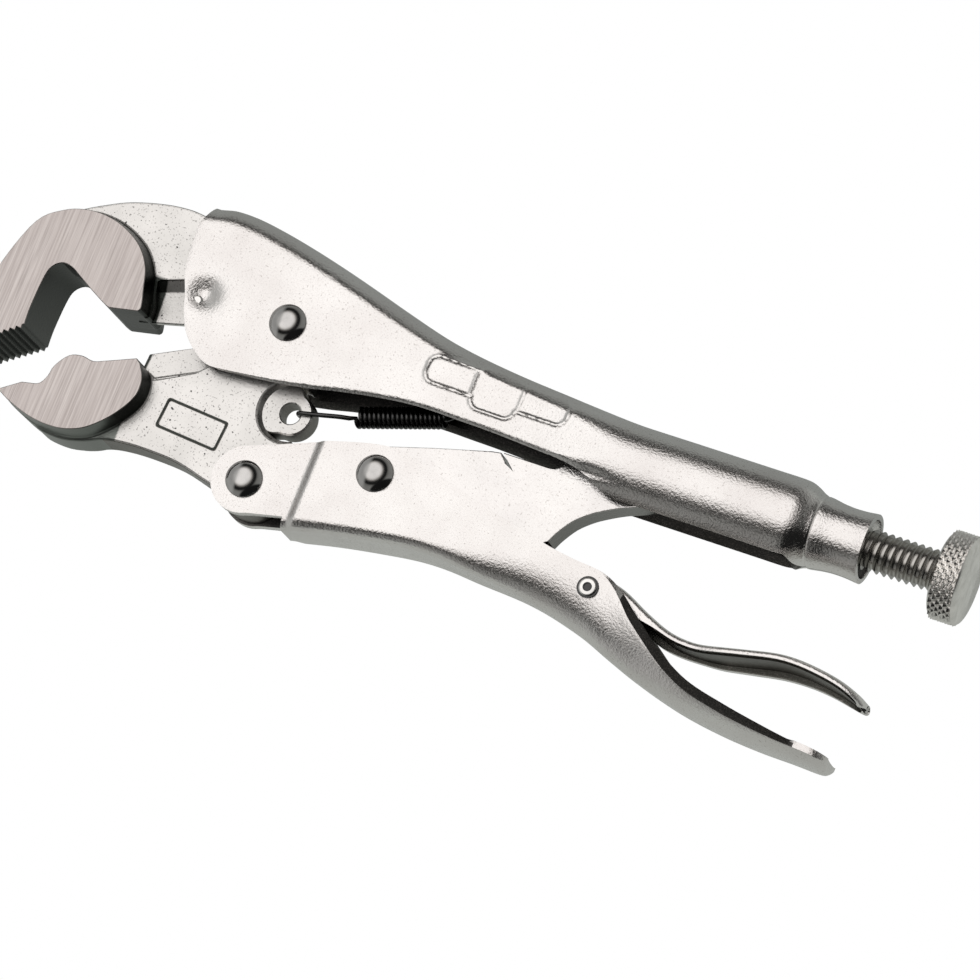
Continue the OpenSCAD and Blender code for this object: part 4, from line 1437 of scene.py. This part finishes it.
ring_side = Vector((-approach.y, approach.x, 0))
tail = [last, last + coil_way * 0.9 + Vector((0, 0, -0.6)) + side_way * 0.3,
        strap_hub - approach * 5.0 - ring_side * 0.5,
        strap_hub - approach * 1.2 - ring_side * 1.35]
for a in range(-60, 200, 26):
    turn = math.radians(a)
    tail.append(strap_hub + approach * ring_radius * math.sin(turn + math.pi / 6)
                - ring_side * ring_radius * math.cos(turn + math.pi / 6))
path += through(tail, 5)[1:]
# the line that the wire follows is thrown away when the wire stands
curve = bpy.data.curves.new("spring line", "CURVE")
curve.dimensions = "3D"
spline = curve.splines.new("POLY")
spline.points.add(len(path) - 1)
for point, place in zip(spline.points, path):
    point.co = (*spot(*place), 1.0)
line_object = bpy.data.objects.new("spring line", curve)
bpy.context.scene.collection.objects.link(line_object)
spring = grown("tension_spring_wire", wire_tree, {"Line": line_object,
                                                  "Wire radius": wire_half * MM})
bpy.data.objects.remove(line_object)
spring.data.set_sharp_from_angle(angle=math.radians(60))
dress(spring, spring_black, "upper_body", "tension_spring")
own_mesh(spring)

# ---------------------------------------------------------------------------
# Floor, light and camera: a plain white table under one large soft light that
# hangs above the far side, with the dark of the room round it.
# ---------------------------------------------------------------------------

table = Finish("white table")
# painted light: reflections see the table glow as if lit, while the camera sees it plain white
shown = table.node("ShaderNodeLightPath", out="Is Camera Ray")
seen = table.node("ShaderNodeEmission", {}, {"Color": (1.0, 1.0, 1.0, 1.0), "Strength": 1.0})
place = table.node("ShaderNodeTexCoord", out="Object")
along = table.along(place, 0, hub.x)
back = table.along(place, 1, hub.y)
# painted shade: the far part of the table, behind the tool and short of the knob, glows dimmer
shade = back.over(-14.0, 0.0) * along.over(131.0, 122.0)
open_floor_green, shaded_floor_green = (0.97, 1.0, 0.95, 1.0), (0.96, 1.0, 0.96, 1.0)
open_floor_glow = table.node("ShaderNodeEmission", {}, {"Color": open_floor_green, "Strength": 0.45})
shaded_floor_glow = table.node("ShaderNodeEmission", {}, {"Color": shaded_floor_green, "Strength": 0.30})
floor_glow_in_reflections = table.node("ShaderNodeMixShader", {}, {0: shade, 1: open_floor_glow, 2: shaded_floor_glow})
both = table.node("ShaderNodeMixShader", {}, {0: shown, 1: floor_glow_in_reflections, 2: seen})
table.tree.links.new(both.socket, table.tree.nodes.new("ShaderNodeOutputMaterial").inputs[0])
table_reach = 3.0
bm = bmesh.new()
bmesh.ops.create_grid(bm, x_segments=2, y_segments=2, size=table_reach)
floor = solid("white_table", bm)
floor.data.materials.append(table.material)
floor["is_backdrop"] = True

world = bpy.data.worlds.new("studio")
bpy.context.scene.world = world
world.use_nodes = True
room = Finish.__new__(Finish)
room.tree = world.node_tree
room.tree.nodes.clear()
way = room.node("ShaderNodeTexCoord", out="Generated")
way = room.node("ShaderNodeVectorMath", {"operation": "NORMALIZE"}, {0: way})
light_way = Vector((-0.31, 0.20, 0.93)).normalized()
toward = room.node("ShaderNodeVectorMath", {"operation": "DOT_PRODUCT"},
                   {0: way, 1: tuple(light_way)}, out="Value")
glow = room.node("ShaderNodeValToRGB", {"stops": [
    (0.0, (0.30, 0.30, 0.29)), (0.30, (0.27, 0.27, 0.26)), (0.42, (0.20, 0.20, 0.19)),
    (0.52, (0.015, 0.015, 0.015)), (0.64, (0.015, 0.015, 0.015)), (0.70, (0.10, 0.095, 0.09)),
    (0.76, (0.45, 0.43, 0.41)), (0.82, (0.98, 0.95, 0.93)), (0.88, (1.22, 1.19, 1.17))]},
    {0: toward})
# paler to the left of the picture, darker to the lower right
sideways = room.node("ShaderNodeSeparateXYZ", {}, {"Vector": way})
low_right = room.node("ShaderNodeVectorMath", {"operation": "DOT_PRODUCT"},
                      {0: way, 1: (0.707, -0.707, 0.0)}, out="Value")
pale_wall, dark_wall, white = (0.55, 0.55, 0.54, 1.0), (0.012, 0.012, 0.012, 1.0), (1.0,) * 4
glow = room.mix(sideways.over(-0.55, -0.72) * 0.8, glow, pale_wall)
glow = room.mix(low_right.over(0.52, 0.62), glow, dark_wall)
shown = room.node("ShaderNodeLightPath", out="Is Camera Ray")
glow = room.mix(shown, glow, white)
background = room.node("ShaderNodeBackground", {}, {"Color": glow, "Strength": 1.0})
room.tree.links.new(background.socket, room.tree.nodes.new("ShaderNodeOutputWorld").inputs[0])

bpy.context.scene.view_settings.view_transform = "Standard"
toward_camera = Vector((0.30902, -0.18224, 0.93343))
picture_right = Vector((0.90245, 0.36595, -0.22731))
picture_up = Vector((-0.30016, 0.91262, 0.27754))
aim = spot(44.97, -15.99, 0)
camera_data = bpy.data.cameras.new("camera")
camera_data.lens = 206.4
camera_data.sensor_width = 36.0
camera_data.clip_start = 0.05
camera_data.clip_end = 20.0
camera = bpy.data.objects.new("camera", camera_data)
bpy.context.scene.collection.objects.link(camera)
place = camera.matrix_world.copy()
place.col[0][:3] = picture_right
place.col[1][:3] = picture_up
place.col[2][:3] = toward_camera
place.col[3][:3] = aim + toward_camera
camera.matrix_world = place
bpy.context.scene.camera = camera

low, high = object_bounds()
